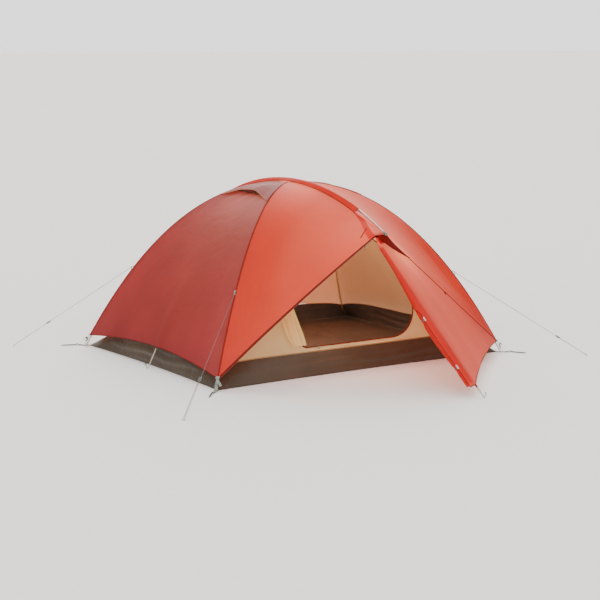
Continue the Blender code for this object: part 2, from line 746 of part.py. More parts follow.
def corner_hardware(collection):
    reach = math.hypot(FOOT_X, FOOT_Y)
    floor_corner = math.hypot(FLOOR_X, FLOOR_Y)
    low, high = corner_strap_line()
    along = unit(high - low)
    aside = np.array([along[1], -along[0]]) * WEB_T / 2
    outline = [
        (floor_corner + WEB_FLOOR_GAP, 0.0),
        (reach + WEB_OUT, 0.0),
        (reach + WEB_OUT, WEB_T),
        (low[0] + 2 * WEB_T, WEB_T),
        tuple(low + aside + along * 2 * WEB_T),
        tuple(high + aside),
        tuple(high - aside),
        tuple(low - aside + along * 2 * WEB_T),
        (low[0] - 0.7 * WEB_T, WEB_T),
        (floor_corner + WEB_FLOOR_GAP, WEB_T),
    ]
    for corner, (sx, sy) in CORNERS.items():
        out = radial(sx, sy)
        frame = frame_at((0, 0, 0), out, (0, 0, 1))
        outline_plate(f"corner_webbing_{corner}", outline, WEB_W / 2, "webbing", collection, frame)
        middle = low + (high - low) * BUCKLE_AT
        place = out * middle[0] + np.array([0, 0, middle[1]])
        run = out * along[0] + np.array([0, 0, along[1]])
        box_ring(f"corner_buckle_{corner}", BUCKLE_L, BUCKLE_W, BUCKLE_H, BUCKLE_WALL,
                 "grey_plastic", collection, frame_at(place, run, np.cross(out, [0, 0, 1])))
        turn = math.radians(PEG_TURN[corner])
        heading = np.array([math.cos(turn), math.sin(turn), 0.0])
        base = out * (reach + WEB_OUT + PEG_GAP) + np.array([0, 0, PEG_D / 2])
        stops = (0.0, PEG_L / 12, PEG_L - PEG_TAPER, PEG_L)
        radii = [1.0, 1.0, 1.0, 0.25]
        tube(f"corner_peg_{corner}", [base + heading * d for d in stops], PEG_D, "peg_steel",
             collection, radii=radii)


def driven_peg(name, ground, lean, collection):
    """The hooked head of a peg that is driven into the ground at a slant."""
    lean = unit(np.array([lean[0], lean[1], PEG_RISE]))
    hook = unit(np.array([-lean[0], -lean[1], 0.0]))
    foot_lift = PEG_WIRE_D / 2 * math.hypot(lean[0], lean[1])
    base = np.array([ground[0], ground[1], foot_lift])
    neck = base + lean * (PEG_HEAD_L - PEG_HOOK_R)
    points = [base, neck]
    for k in range(1, 5):
        turn = math.radians(k * 45)
        points.append(neck + (hook * (1 - math.cos(turn)) + lean * math.sin(turn)) * PEG_HOOK_R)
    tube(name, points, PEG_WIRE_D, "peg_steel", collection)


def guy_route(corner):
    """Points of a guy line: down to its ground loop, round it and back up into the runner."""
    share, out, runner = GUYS[corner]
    sx, sy = CORNERS[corner]
    ground = (sx * FOOT_X + out[0], sy * FOOT_Y + out[1])
    start = leg(share, sx, sy) + radial(sx, sy) * GUY_OFF[0] + np.array([0, 0, GUY_OFF[1]])
    end = np.array([ground[0], ground[1], GUY_D / 2 + 0.001])
    along = unit(end - start)
    aside = unit(np.cross(along, [0, 0, 1]))
    centre = end - along * GUY_LOOP_R
    length = np.linalg.norm(end - start)
    spread = length - GUY_LOOP_R - GUY_SPREAD_L
    points = [start + along * d - aside * GUY_LANE for d in np.linspace(0, spread, 6)]
    for k in range(7):
        turn = math.radians(lerp(-90, 90, k / 6))
        points.append(centre + along * GUY_LOOP_R * math.cos(turn) + aside * GUY_LOOP_R * math.sin(turn))
    back = start + along * (length - runner - RUNNER_L * RUNNER_GRIP) + aside * GUY_LANE
    points += [start + along * spread + aside * GUY_LANE, back]
    middle = start + along * (length - runner)
    return points, middle, along, aside


def guy_lines(collection):
    for corner in CORNERS:
        points, middle, along, aside = guy_route(corner)
        tube(f"guy_line_{corner}", points, GUY_D, "guy_cord", collection)
        box_ring(f"guy_runner_{corner}", RUNNER_L, RUNNER_W, RUNNER_H, RUNNER_WALL,
                 "grey_plastic", collection, frame_at(middle, along, aside))


def hem_ties(collection):
    for side, sx in (("left", -1), ("right", 1)):
        w = HEM_TIE_Y / FOOT_Y
        hem = end_point(sx, hem_share(w), w)
        top = hem + np.array([sx * TIE_OUT, 0.0, -TIE_DROP])
        ground = np.array([sx * (FOOT_X + HEM_PEG_OUT), HEM_TIE_Y, 0.0])
        foot = ground + np.array([-sx * TIE_HOOK[0], 0.0, TIE_HOOK[1]])
        tube(f"hem_cord_{side}", [lerp(top, foot, t) for t in np.linspace(0, 1, 7)], GUY_D,
             "strap_cord", collection)
        driven_peg(f"hem_peg_{side}", ground, (sx, 0.0), collection)


def vestibule_ties(collection):
    for end, sy, stake_x in (("front", -1, STAKE_X), ("rear", 1, 0.0)):
        top = np.array([stake_x, sy * (VEST_HEM_Y + TIE_HOOK[0]), VEST_HEM_Z - TIE_DROP / 2])
        ground = np.array([stake_x, sy * STAKE_Y, 0.0])
        foot = ground + np.array([0.0, -sy * TIE_HOOK[0], TIE_HOOK[1]])
        tube(f"vestibule_cord_{end}", [lerp(top, foot, t) for t in np.linspace(0, 1, 6)], GUY_D,
             "strap_cord", collection)
        driven_peg(f"vestibule_peg_{end}", ground, (0.0, sy), collection)


# ---- zip sliders ----------------------------------------------------------------------------


def zip_sliders(collection):
    lower = door_edge(FLY_SLIDER_AT - 0.01, -1, -1)
    upper = door_edge(FLY_SLIDER_AT + 0.01, -1, -1)
    along = unit(upper - lower)
    off = unit(np.cross(along, [0.0, -1.0, 0.0]))
    if off[2] > 0:
        off = -off
    place = lower + off * FLY_SLIDER_OFF
    box_ring("fly_zip_slider", *FLY_SLIDER, "grey_plastic", collection, frame_at(place, along, off))

    share = arc_share(DOOR_SILL_Z, INNER_APEX_Z)
    sill_x = DOOR_X - DOOR_HALF + DOOR_CORNER_R
    sill = inner_side_point(-1, share, sill_x / (share * INNER_X))
    place = sill + np.array(INNER_SLIDER_OFF)
    box_ring("inner_zip_slider", *INNER_SLIDER, "grey_plastic", collection,
             frame_at(place, (1, 0, 0), (0, 0, 1)))


def main():
    clear_scene()
    tent = new_collection("dome_tent")
    cutters = new_collection("cutters", hidden=True)
    main_pole("main_pole_a", -1, -1, 0.0, tent)
    main_pole("main_pole_b", -1, 1, 1.0, tent)
    ridge_pole(tent)
    ridge_sleeve(tent)
    fly(tent)
    vestibules(tent)
    inner_floor(tent)
    inner_walls(tent, cutters)
    inner_door(tent)
    corner_hardware(tent)
    guy_lines(tent)
    hem_ties(tent)
    vestibule_ties(tent)
    zip_sliders(tent)


main()
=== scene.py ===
"""Looks of a three-person dome tent, pitched, with its front door rolled back.

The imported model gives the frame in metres: the tent's ends lie along X, its open door faces -Y and
the origin is on the ground at the middle of the floor.  Each class below dresses one sub-assembly,
and main() builds them in order.
"""

import logging
import math
from dataclasses import dataclass, field
from enum import Enum
from typing import Callable, Dict, List, Optional, Sequence, Tuple, Union

import bmesh
import bpy
import numpy as np
from mathutils import Matrix, Vector


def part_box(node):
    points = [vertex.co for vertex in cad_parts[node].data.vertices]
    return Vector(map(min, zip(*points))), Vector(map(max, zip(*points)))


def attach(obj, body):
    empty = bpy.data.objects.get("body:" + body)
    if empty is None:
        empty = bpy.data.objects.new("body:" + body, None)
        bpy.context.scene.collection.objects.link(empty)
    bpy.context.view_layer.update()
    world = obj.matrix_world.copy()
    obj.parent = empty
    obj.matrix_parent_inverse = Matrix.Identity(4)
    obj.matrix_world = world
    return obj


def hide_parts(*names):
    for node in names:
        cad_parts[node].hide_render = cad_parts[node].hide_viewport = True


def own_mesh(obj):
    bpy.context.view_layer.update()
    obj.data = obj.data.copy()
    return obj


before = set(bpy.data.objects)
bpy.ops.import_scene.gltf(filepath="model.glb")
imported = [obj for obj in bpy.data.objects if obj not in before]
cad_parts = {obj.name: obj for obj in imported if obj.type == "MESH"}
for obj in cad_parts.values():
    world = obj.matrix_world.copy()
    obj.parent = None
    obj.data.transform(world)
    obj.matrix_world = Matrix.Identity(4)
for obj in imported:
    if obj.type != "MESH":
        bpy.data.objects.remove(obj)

Surface = Callable[[float, float], np.ndarray]
Relief = Callable[[float, float], float]
Colour = Tuple[float, float, float, float]
Section = Tuple[float, float]
Value = Union[float, np.ndarray]

LOG = logging.getLogger("dome_tent")
SIDES = (("left", -1), ("right", 1))    # an end's name and its side along X
ENDS = (("front", -1), ("rear", 1))     # the same along Y


# ---- named options --------------------------------------------------------------------------


class Corner(Enum):
    """A corner of the tent: its name, and its side along X and along Y."""

    FRONT_LEFT = ("front_left", -1, -1)
    FRONT_RIGHT = ("front_right", 1, -1)
    REAR_LEFT = ("rear_left", -1, 1)
    REAR_RIGHT = ("rear_right", 1, 1)

    @property
    def label(self) -> str:
        """The corner's name in the frame."""
        return self.value[0]

    @property
    def sx(self) -> int:
        """-1 at the left end, 1 at the right end."""
        return self.value[1]

    @property
    def sy(self) -> int:
        """-1 at the front, 1 at the rear."""
        return self.value[2]


class Slot(Enum):
    """The record's material slots."""

    FLY_DARK = "fly_dark"
    FLY_RED = "fly_red"
    INNER_TAN = "inner_tan"
    FLOOR_BROWN = "floor_brown"
    POLE = "pole_alloy"
    WEBBING = "webbing"
    PLASTIC = "grey_plastic"
    PEG = "peg_metal"
    GUY = "guy_cord"
    TIE = "tie_cord"


class Held(Enum):
    """How a sheet of cloth is held."""

    STRETCHED = "stretched"
    FOLDED = "folded"
    GATHERED = "gathered"


# ---- small helpers --------------------------------------------------------------------------


def unit(vector: Sequence[float]) -> np.ndarray:
    """The vector at length one."""
    array = np.asarray(vector, float)
    return array / np.linalg.norm(array)


def lerp(start: Value, stop: Value, share: float) -> Value:
    """The value that share of the way from start to stop."""
    return start + (stop - start) * share


def smoothstep(low: float, high: float, value: float) -> float:
    """0 below low, 1 above high, and a smooth rise between them."""
    share = min(max((value - low) / (high - low), 0.0), 1.0)
    return share * share * (3 - 2 * share)


def bell(value: float, middle: float, width: float) -> float:
    """A smooth bump of height one, about width wide to each side of its middle."""
    return math.exp(-(((value - middle) / width) ** 2))


def spaced(points: Sequence[np.ndarray], count: int) -> List[np.ndarray]:
    """Evenly spaced points on a line through the given ones.

    Args:
        points: The line's own points.
        count: How many to return.

    Returns:
        The new points, from the first to the last.
    """
    line = np.asarray(points, float)
    walked = np.concatenate([[0.0], np.cumsum(np.linalg.norm(np.diff(line, axis=0), axis=1))])
    stops = np.linspace(0.0, walked[-1], count)
    return [np.array([np.interp(stop, walked, line[:, axis]) for axis in range(3)]) for stop in stops]


def length_of(points: Sequence[np.ndarray]) -> float:
    """The length of a line of points."""
    return float(np.linalg.norm(np.diff(np.asarray(points), axis=0), axis=1).sum())


def placement(origin: Sequence[float], first: Sequence[float], second: Sequence[float]) -> Matrix:
    """A placement whose first axis is first, and whose second is as near second as it can be.

    Args:
        origin: Where it stands.
        first: Its X axis.
        second: Roughly its Y axis.

    Returns:
        The matrix.
    """
    x_axis = unit(first)
    z_axis = unit(np.cross(x_axis, np.asarray(second, float)))
    y_axis = np.cross(z_axis, x_axis)
    matrix = Matrix.Identity(4)
    for column, axis in enumerate((x_axis, y_axis, z_axis)):
        for row in range(3):
            matrix[row][column] = axis[row]
    matrix.translation = Vector(origin)
    return matrix


def linear(hex_colour: str) -> Colour:
    """An sRGB hex colour as linear red, green, blue and alpha.

    Args:
        hex_colour: The colour, as # and six hex digits.

    Returns:
        The linear colour.
    """
    parts = [int(hex_colour[index:index + 2], 16) / 255 for index in (1, 3, 5)]
    turned = [part / 12.92 if part <= 0.04045 else ((part + 0.055) / 1.055) ** 2.4 for part in parts]
    return (*turned, 1.0)


def add(tree: bpy.types.NodeTree, kind: str, settings: Optional[Dict] = None,
        links: Optional[Dict] = None) -> bpy.types.Node:
    """Adds a node with its settings and links.

    Args:
        tree: The material's node tree.
        kind: The node's type.
        settings: Values by the name of an input, or of a property where no input has that name.
        links: Output sockets by the name or number of the input that they feed.

    Returns:
        The node.
    """
    node = tree.nodes.new(kind)
    for name, value in (settings or {}).items():
        if isinstance(name, int) or name in node.inputs:
            node.inputs[name].default_value = value
        else:
            setattr(node, name, value)
    for name, source in (links or {}).items():
        tree.links.new(source, node.inputs[name])
    return node


def wave_scale(pitch_mm: float) -> float:
    """The Scale at which a band wave repeats every pitch_mm of a coordinate in metres."""
    return 2 * math.pi / 20 / (pitch_mm / 1000)


def square_grid(tree: bpy.types.NodeTree, coords: bpy.types.Node, pitch_mm: float) -> bpy.types.Node:
    """Threads in squares over a cloth's weave.

    Args:
        tree: The material's tree.
        coords: Its texture coordinates.
        pitch_mm: The squares' size in millimetres.

    Returns:
        The node that is bright on the threads.
    """
    bands = [add(tree, "ShaderNodeTexWave", {"bands_direction": axis, "Scale": wave_scale(pitch_mm)},
                 {"Vector": coords.outputs["UV"]}) for axis in ("X", "Y")]
    return add(tree, "ShaderNodeMath", {"operation": "MAXIMUM"},
               {0: bands[0].outputs["Fac"], 1: bands[1].outputs["Fac"]})


# ---- finishes -------------------------------------------------------------------------------


@dataclass(frozen=True)
class Fabric:
    """A coated woven cloth: a ripstop grid under a dull gloss, and light that comes through it."""

    name: str
    colour: str
    fold: str
    glow: str
    through: float
    roughness: float
    sheen: float
    grid_mm: float = 9.0       # ripstop squares are 5 mm, drawn larger so that they show
    grid_depth: float = 0.10
    crease_scale: float = 7.0  # soft creases to the metre
    crease_depth: float = 0.010
    coat: float = 0.0
    gloss: float = 0.22        # specular level: light scatters among the threads

    def build(self) -> bpy.types.Material:
        """The material, made once."""
        material, tree, output = new_material(self.name, self.colour)
        coords = add(tree, "ShaderNodeTexCoord")
        grid = square_grid(tree, coords, self.grid_mm)
        threads = add(tree, "ShaderNodeMath", {"operation": "POWER", 1: 9.0},
                      {0: grid.outputs[0]})
        mottle = add(tree, "ShaderNodeTexNoise",
                     {"Scale": 2.6, "Detail": 4.0, "Roughness": 0.55},
                     {"Vector": coords.outputs["Object"]})
        crease = add(tree, "ShaderNodeTexNoise",
                     {"Scale": self.crease_scale, "Detail": 3.0, "Distortion": 0.6},
                     {"Vector": coords.outputs["Object"]})
        share = add(tree, "ShaderNodeMapRange", {"From Min": 0.35, "From Max": 0.70},
                    {"Value": mottle.outputs["Fac"]})
        deep = add(tree, "ShaderNodeMix",
                   {"data_type": "RGBA", 6: linear(self.colour), 7: linear(self.fold)},
                   {0: share.outputs[0]})
        darker = add(tree, "ShaderNodeMath", {"operation": "MULTIPLY", 1: self.grid_depth},
                     {0: threads.outputs[0]})
        woven = add(tree, "ShaderNodeMix",
                    {"data_type": "RGBA", "blend_type": "MULTIPLY", 7: linear("#7A6A66")},
                    {0: darker.outputs[0], 6: deep.outputs[2]})
        soft = add(tree, "ShaderNodeBump", {"Strength": 0.45, "Distance": self.crease_depth},
                   {"Height": crease.outputs["Fac"]})
        fine = add(tree, "ShaderNodeBump", {"Strength": 0.20, "Distance": 0.0006},
                   {"Height": threads.outputs[0], "Normal": soft.outputs[0]})
        worn = add(tree, "ShaderNodeMapRange",
                   {"To Min": self.roughness - 0.05, "To Max": self.roughness + 0.07},
                   {"Value": mottle.outputs["Fac"]})
        face = add(tree, "ShaderNodeBsdfPrincipled",
                   {"IOR": 1.53, "Specular IOR Level": self.gloss, "Sheen Weight": self.sheen,
                    "Sheen Roughness": 0.45, "Sheen Tint": linear("#FFE4DC"),
                    "Coat Weight": self.coat, "Coat Roughness": 0.42},
                   {"Base Color": woven.outputs[2], "Roughness": worn.outputs[0],
                    "Normal": fine.outputs[0]})
        if self.through == 0:
            tree.links.new(face.outputs[0], output.inputs["Surface"])
            return material
        lit = add(tree, "ShaderNodeBsdfTranslucent", {"Color": linear(self.glow)},
                  {"Normal": soft.outputs[0]})
        both = add(tree, "ShaderNodeMixShader", {0: self.through},
                   {1: face.outputs[0], 2: lit.outputs[0]})
        tree.links.new(both.outputs[0], output.inputs["Surface"])
        return material


@dataclass(frozen=True)
class Ribbed:
    """Woven narrow goods, such as webbing, tape, binding or braid: ribs across their length."""

    name: str
    colour: str
    dark: str
    rib_mm: float
    roughness: float = 0.85
    depth: float = 0.0006
    slant: float = 0.0

    def build(self) -> bpy.types.Material:
        """The material, made once."""
        material, tree, output = new_material(self.name, self.colour)
        coords = add(tree, "ShaderNodeTexCoord")
        turned = add(tree, "ShaderNodeMapping", {"Rotation": (0.0, 0.0, self.slant)},
                     {"Vector": coords.outputs["UV"]})
        ribs = add(tree, "ShaderNodeTexWave",
                   {"bands_direction": "Y", "Scale": wave_scale(self.rib_mm), "Distortion": 0.4},
                   {"Vector": turned.outputs[0]})
        fibre = add(tree, "ShaderNodeTexNoise", {"Scale": 140.0, "Detail": 3.0},
                    {"Vector": coords.outputs["Object"]})
        mixed = add(tree, "ShaderNodeMath", {"operation": "MULTIPLY"},
                    {0: ribs.outputs["Fac"], 1: fibre.outputs["Fac"]})
        shade = add(tree, "ShaderNodeMix",
                    {"data_type": "RGBA", 6: linear(self.dark), 7: linear(self.colour)},
                    {0: add(tree, "ShaderNodeMapRange", {"From Max": 0.45},
                            {"Value": mixed.outputs[0]}).outputs[0]})
        raised = add(tree, "ShaderNodeBump", {"Strength": 0.6, "Distance": self.depth},
                     {"Height": ribs.outputs["Fac"]})
        face = add(tree, "ShaderNodeBsdfPrincipled",
                   {"Roughness": self.roughness, "IOR": 1.53, "Specular IOR Level": 0.2},
                   {"Base Color": shade.outputs[2], "Normal": raised.outputs[0]})
        tree.links.new(face.outputs[0], output.inputs["Surface"])
        return material


@dataclass(frozen=True)
class Metal:
    """Drawn or forged metal with fine lengthwise marks and a little handling wear."""

    name: str
    colour: str
    worn: str
    roughness: float
    metallic: float = 1.0

    def build(self) -> bpy.types.Material:
        """The material, made once."""
        material, tree, output = new_material(self.name, self.colour)
        coords = add(tree, "ShaderNodeTexCoord")
        marks = add(tree, "ShaderNodeTexNoise", {"Scale": 60.0, "Detail": 5.0, "Roughness": 0.7},
                    {"Vector": coords.outputs["Object"]})
        wear = add(tree, "ShaderNodeMapRange", {"From Min": 0.52, "From Max": 0.72},
                   {"Value": marks.outputs["Fac"]})
        shade = add(tree, "ShaderNodeMix",
                    {"data_type": "RGBA", 6: linear(self.colour), 7: linear(self.worn)},
                    {0: wear.outputs[0]})
        rough = add(tree, "ShaderNodeMapRange",
                    {"To Min": self.roughness, "To Max": self.roughness + 0.18},
                    {"Value": marks.outputs["Fac"]})
        raised = add(tree, "ShaderNodeBump", {"Strength": 0.12, "Distance": 0.0003},
                     {"Height": marks.outputs["Fac"]})
        face = add(tree, "ShaderNodeBsdfPrincipled", {"Metallic": self.metallic},
                   {"Base Color": shade.outputs[2], "Roughness": rough.outputs[0],
                    "Normal": raised.outputs[0]})
        tree.links.new(face.outputs[0], output.inputs["Surface"])
        return material


@dataclass(frozen=True)
class Moulded:
    """Injection-moulded acetal or nylon with a fine spark-eroded grain."""

    name: str
    colour: str
    scuffed: str
    roughness: float = 0.42

    def build(self) -> bpy.types.Material:
        """The material, made once."""
        material, tree, output = new_material(self.name, self.colour)
        coords = add(tree, "ShaderNodeTexCoord")
        grain = add(tree, "ShaderNodeTexNoise", {"Scale": 420.0, "Detail": 2.0},
                    {"Vector": coords.outputs["Object"]})
        scuffs = add(tree, "ShaderNodeTexNoise", {"Scale": 38.0, "Detail": 6.0, "Roughness": 0.75},
                     {"Vector": coords.outputs["Object"]})
        wear = add(tree, "ShaderNodeMapRange", {"From Min": 0.55, "From Max": 0.75},
                   {"Value": scuffs.outputs["Fac"]})
        shade = add(tree, "ShaderNodeMix",
                    {"data_type": "RGBA", 6: linear(self.colour), 7: linear(self.scuffed)},
                    {0: wear.outputs[0]})
        raised = add(tree, "ShaderNodeBump", {"Strength": 0.15, "Distance": 0.0002},
                     {"Height": grain.outputs["Fac"]})
        face = add(tree, "ShaderNodeBsdfPrincipled",
                   {"IOR": 1.48, "Roughness": self.roughness},
                   {"Base Color": shade.outputs[2], "Normal": raised.outputs[0]})
        tree.links.new(face.outputs[0], output.inputs["Surface"])
        return material


@dataclass(frozen=True)
class Netting:
    """Black mosquito netting: fine threads with open squares between them."""

    name: str
    colour: str
    pitch_mm: float

    def build(self) -> bpy.types.Material:
        """The material, made once."""
        material, tree, output = new_material(self.name, self.colour)
        grid = square_grid(tree, add(tree, "ShaderNodeTexCoord"), self.pitch_mm)
        solid = add(tree, "ShaderNodeMapRange",
                    {"From Min": 0.45, "From Max": 0.60, "To Min": 0.62}, {"Value": grid.outputs[0]})
        face = add(tree, "ShaderNodeBsdfPrincipled",
                   {"Base Color": linear(self.colour), "Roughness": 0.8, "IOR": 1.53},
                   {"Alpha": solid.outputs[0]})
        tree.links.new(face.outputs[0], output.inputs["Surface"])
        return material


Finish = Union[Fabric, Ribbed, Metal, Moulded, Netting]


def new_material(name: str, colour: str) -> Tuple[bpy.types.Material, bpy.types.NodeTree,
                                                  bpy.types.Node]:
    """An empty node material.

    Args:
        name: The material's name.
        colour: Its colour in the viewport, in hex.

    Returns:
        The material, its tree and its output node.
    """
    material = bpy.data.materials.new(name)
    material.use_nodes = True
    material.diffuse_color = linear(colour)
    tree = material.node_tree
    tree.nodes.clear()
    return material, tree, tree.nodes.new("ShaderNodeOutputMaterial")


# Silicone-coated ripstop polyamide, dyed: a clear red with a wide, soft gloss.
FLY_RED = Fabric("polyamide_ripstop_siliconised_red", "#D41A08", "#C81606", "#FFA48A",
                 through=0.36, roughness=0.50, sheen=0.0, coat=0.03)
# The same cloth in a wine red, for the two ends.
FLY_WINE = Fabric("polyamide_ripstop_siliconised_wine", "#98262C", "#842024", "#E09C8C",
                  through=0.26, roughness=0.54, sheen=0.0, coat=0.02)
# A second layer of the red cloth, glossy side out, in a pale pink: a painted highlight for the sheen of the
# light along each peak.
FLY_PAINTED_HIGHLIGHT = Fabric("polyamide_ripstop_painted_highlight_pale", "#E85848", "#E04C3C", "#F0A090",
                   through=0.10, roughness=0.38, sheen=0.0, coat=0.10)
# The red cloth in a deep crimson: painted shade, for the cloth's underside in the shadow of deep folds and
# under the ridge pole's ends.
FLY_PAINTED_SHADE = Fabric("polyamide_ripstop_painted_shade_crimson", "#660804", "#640602", "#A01808",
                   through=0.0, roughness=0.75, sheen=0.0, gloss=0.08)
# Uncoated breathable polyester taffeta: dull, thin, and it glows when light is behind it.
INNER_TAN = Fabric("polyester_taffeta_breathable_tan", "#F8E0A6", "#F0D496", "#FFEEC8",
                   through=0.58, roughness=0.78, sheen=0.0, grid_mm=14.0, grid_depth=0.04,
                   crease_scale=9.0, crease_depth=0.016)
# Polyurethane-coated polyamide groundsheet: dense, brown and slightly waxy.
FLOOR_BROWN = Fabric("polyamide_groundsheet_coated_brown", "#483A2A", "#3A2E20", "#6A5240",
                     through=0.0, roughness=0.46, sheen=0.04, grid_mm=12.0, grid_depth=0.12,
                     crease_scale=11.0, crease_depth=0.020, coat=0.32)
# The groundsheet's uncoated inner face: duller and greyer than the coated side, and paler than it partly as
# painted light for the daylight that reaches the cabin's floor.
FLOOR_LINING_PAINTED_LIGHT = Fabric("polyamide_groundsheet_inner_face_painted_light", "#6E625C", "#60544E", "#6E625C",
                      through=0.0, roughness=0.75, sheen=0.0, grid_mm=12.0, grid_depth=0.08,
                      crease_scale=11.0, crease_depth=0.020)
# Grosgrain seam binding in the dark red of the door's edges: its ribs break up the light.
BINDING_DARK = Ribbed("polyester_grosgrain_binding_maroon", "#7A1E14", "#541008", rib_mm=3.0)
# Felled seam in the fly's own thread, darker than the cloth: partly the doubled seam, partly painted shade
# for the thin shadow line along each seam.
SEAM_RED_AND_SHADE = Ribbed("polyamide_felled_seam_red_and_shade", "#90200F", "#5C0E06", rib_mm=6.0, roughness=0.7)
# Grosgrain tape on the inner door's edge: a pale straw line.
TAPE_OLIVE = Ribbed("polyester_grosgrain_tape_straw", "#E0CC84", "#BCA860", rib_mm=4.0)
# Seam tape of the cabin: a darker line where two layers of taffeta meet.
SEAM_TAN = Ribbed("polyester_seam_tape_tan", "#B98F5E", "#96703F", rib_mm=6.0)
# Polypropylene webbing: coarse ribs that catch a grey edge light.
WEBBING_GREY = Ribbed("polypropylene_webbing_grey", "#A6AAA2", "#646A62", rib_mm=3.2, depth=0.001)
# Kernmantle polyester guy cord: a braid that reads as a fine slanted rope.
CORD_GREY = Ribbed("polyester_guy_cord_braided_grey", "#7C7678", "#565054", rib_mm=4.0, slant=0.6)
# Covered elastic cord in off-white.
ELASTIC_CREAM = Ribbed("covered_elastic_cord_cream", "#E6DCC8", "#B4A890", rib_mm=3.0, slant=0.6)
# The same elastic in grey, for the ties and the door's loops.
ELASTIC_GREY = Ribbed("covered_elastic_cord_grey", "#8A8A86", "#54544F", rib_mm=3.0, slant=0.6)
# Piping along the lip of each hood, in a pale rose tan: a painted highlight for the light along the lip.
PIPING_PAINTED_HIGHLIGHT = Ribbed("polyester_piping_painted_highlight_rose", "#C88E78", "#9A5C4C", rib_mm=4.0)
# Coiled zip teeth: a narrow glossy line in a dark red.
ZIP_COIL = Moulded("polyester_zip_coil_maroon", "#6A1A12", "#8A3A30", roughness=0.35)
# Anodised aluminium tube: satin silver, with faint draw lines.
POLE_SILVER = Metal("anodised_aluminium_tube_drawn", "#DADCDE", "#A8ABAE", roughness=0.26)
# Forged aluminium stakes, dulled by use.
STAKE_GREY = Metal("forged_aluminium_stake_dulled", "#6A6E68", "#44483F", roughness=0.38)
# Acetal fittings: dull grey, paler where they are scuffed.
PLASTIC_GREY = Moulded("acetal_moulded_grey", "#5E635C", "#A9ADA6")
# The same plastic in a pale grey, for toggles and pole feet.
PLASTIC_PALE = Moulded("acetal_moulded_pale_grey", "#C4C4BE", "#E2E2DC")
# Mosquito netting: nearly black, and see-through between its threads.
NETTING_BLACK = Netting("polyester_mosquito_netting_black", "#141210", pitch_mm=5.0)

_MADE: Dict[str, bpy.types.Material] = {}


def material_of(finish: Finish) -> bpy.types.Material:
    """The finish's material, built the first time it is asked for."""
    if finish.name not in _MADE:
        _MADE[finish.name] = finish.build()
    return _MADE[finish.name]


# ---- mesh builders --------------------------------------------------------------------------


def new_piece(name: str, bm: bmesh.types.BMesh, finish: Finish) -> bpy.types.Object:
    """A new object from a bmesh, smooth shaded, in its finish.

    Args:
        name: The object's name.
        bm: Its mesh, which is freed.
        finish: Its finish.

    Returns:
        The object.
    """
    mesh = bpy.data.meshes.new(name)
    bm.to_mesh(mesh)
    bm.free()
    mesh.shade_smooth()
    mesh.materials.append(material_of(finish))
    obj = bpy.data.objects.new(name, mesh)
    bpy.context.scene.collection.objects.link(obj)
    return obj


def fit(obj: bpy.types.Object, body: str, slot: Slot, *nodes: str) -> bpy.types.Object:
    """Makes a piece ride on a body and stand for CAD nodes.

    Args:
        obj: The piece.
        body: The CAD body that it moves with.
        slot: Not used.
        nodes: The CAD nodes that it stands for.

    Returns:
        The piece.
    """
    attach(obj, body)
    if nodes:
        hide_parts(*nodes)
    return obj


@dataclass
class Cloth:
    """A panel of cloth laid on a surface, with its weave in metres and its creases in relief."""

    name: str
    surface: Surface
    columns: int
    rows: int
    finish: Finish
    relief: Optional[Relief] = None
    outward: Tuple[float, float, float] = (0.0, 0.0, 0.3)
    closed: bool = False
    flat: Tuple[float, float] = field(default=(0.0, 0.0), init=False)
    area: float = field(default=0.0, init=False)

    def build(self) -> bpy.types.Object:
        """The panel's object, with its flat size measured on the way."""
        bm = bmesh.new()
        bmesh.ops.create_grid(bm, x_segments=self.columns, y_segments=self.rows, size=0.5)
        shares = [(vert.co.x + 0.5, vert.co.y + 0.5) for vert in bm.verts]
        for vert, (u, v) in zip(bm.verts, shares):
            vert.co = Vector(self.surface(u, v))
        width, length = self._measure()
        layer = bm.loops.layers.uv.new("weave")
        by_index = {vert.index: share for vert, share in zip(bm.verts, shares)}
        for face in bm.faces:
            for loop in face.loops:
                u, v = by_index[loop.vert.index]
                loop[layer].uv = (u * width, v * length)
        bm.normal_update()
        middle = Vector(self.outward)
        facing = sum(f.normal.dot(f.calc_center_median() - middle) * f.calc_area() for f in bm.faces)
        if facing < 0:
            bmesh.ops.reverse_faces(bm, faces=bm.faces)
            bm.normal_update()
        self.area = sum(face.calc_area() for face in bm.faces)
        self.flat = (max(width, 0.02), max(length, 0.02, self.area / max(width, 0.02)))
        if self.relief:
            moves = [vert.normal * self.relief(*share) for vert, share in zip(bm.verts, shares)]
            for vert, move in zip(bm.verts, moves):
                vert.co += move
        if self.closed:
            bmesh.ops.remove_doubles(bm, verts=bm.verts, dist=1e-5)
        return new_piece(self.name, bm, self.finish)

    def _measure(self) -> Tuple[float, float]:
        """The panel's greatest width and length along its surface."""
        shares = np.linspace(0, 1, 13)
        width = max(length_of([self.surface(u, v) for u in shares]) for v in shares)
        length = max(length_of([self.surface(u, v) for v in shares]) for u in shares)
        return width, length


def loft(bm: bmesh.types.BMesh, rows: Sequence[Sequence[bmesh.types.BMVert]],
         across: Sequence[float], walked: Sequence[float]) -> None:
    """Joins rows of vertices with faces, and lays the weave over them in metres.

    Args:
        bm: The mesh.
        rows: The rows, each with the same number of vertices.
        across: How far across the weave each vertex of a row lies.
        walked: How far along it each row lies.
    """
    layer = bm.loops.layers.uv.new("weave")
    for index in range(len(rows) - 1):
        for k in range(len(across) - 1):
            corners = ((k, index), (k + 1, index), (k + 1, index + 1), (k, index + 1))
            face = bm.faces.new([rows[stop][place] for place, stop in corners])
            for loop, (place, stop) in zip(face.loops, corners):
                loop[layer].uv = (across[place], walked[stop])


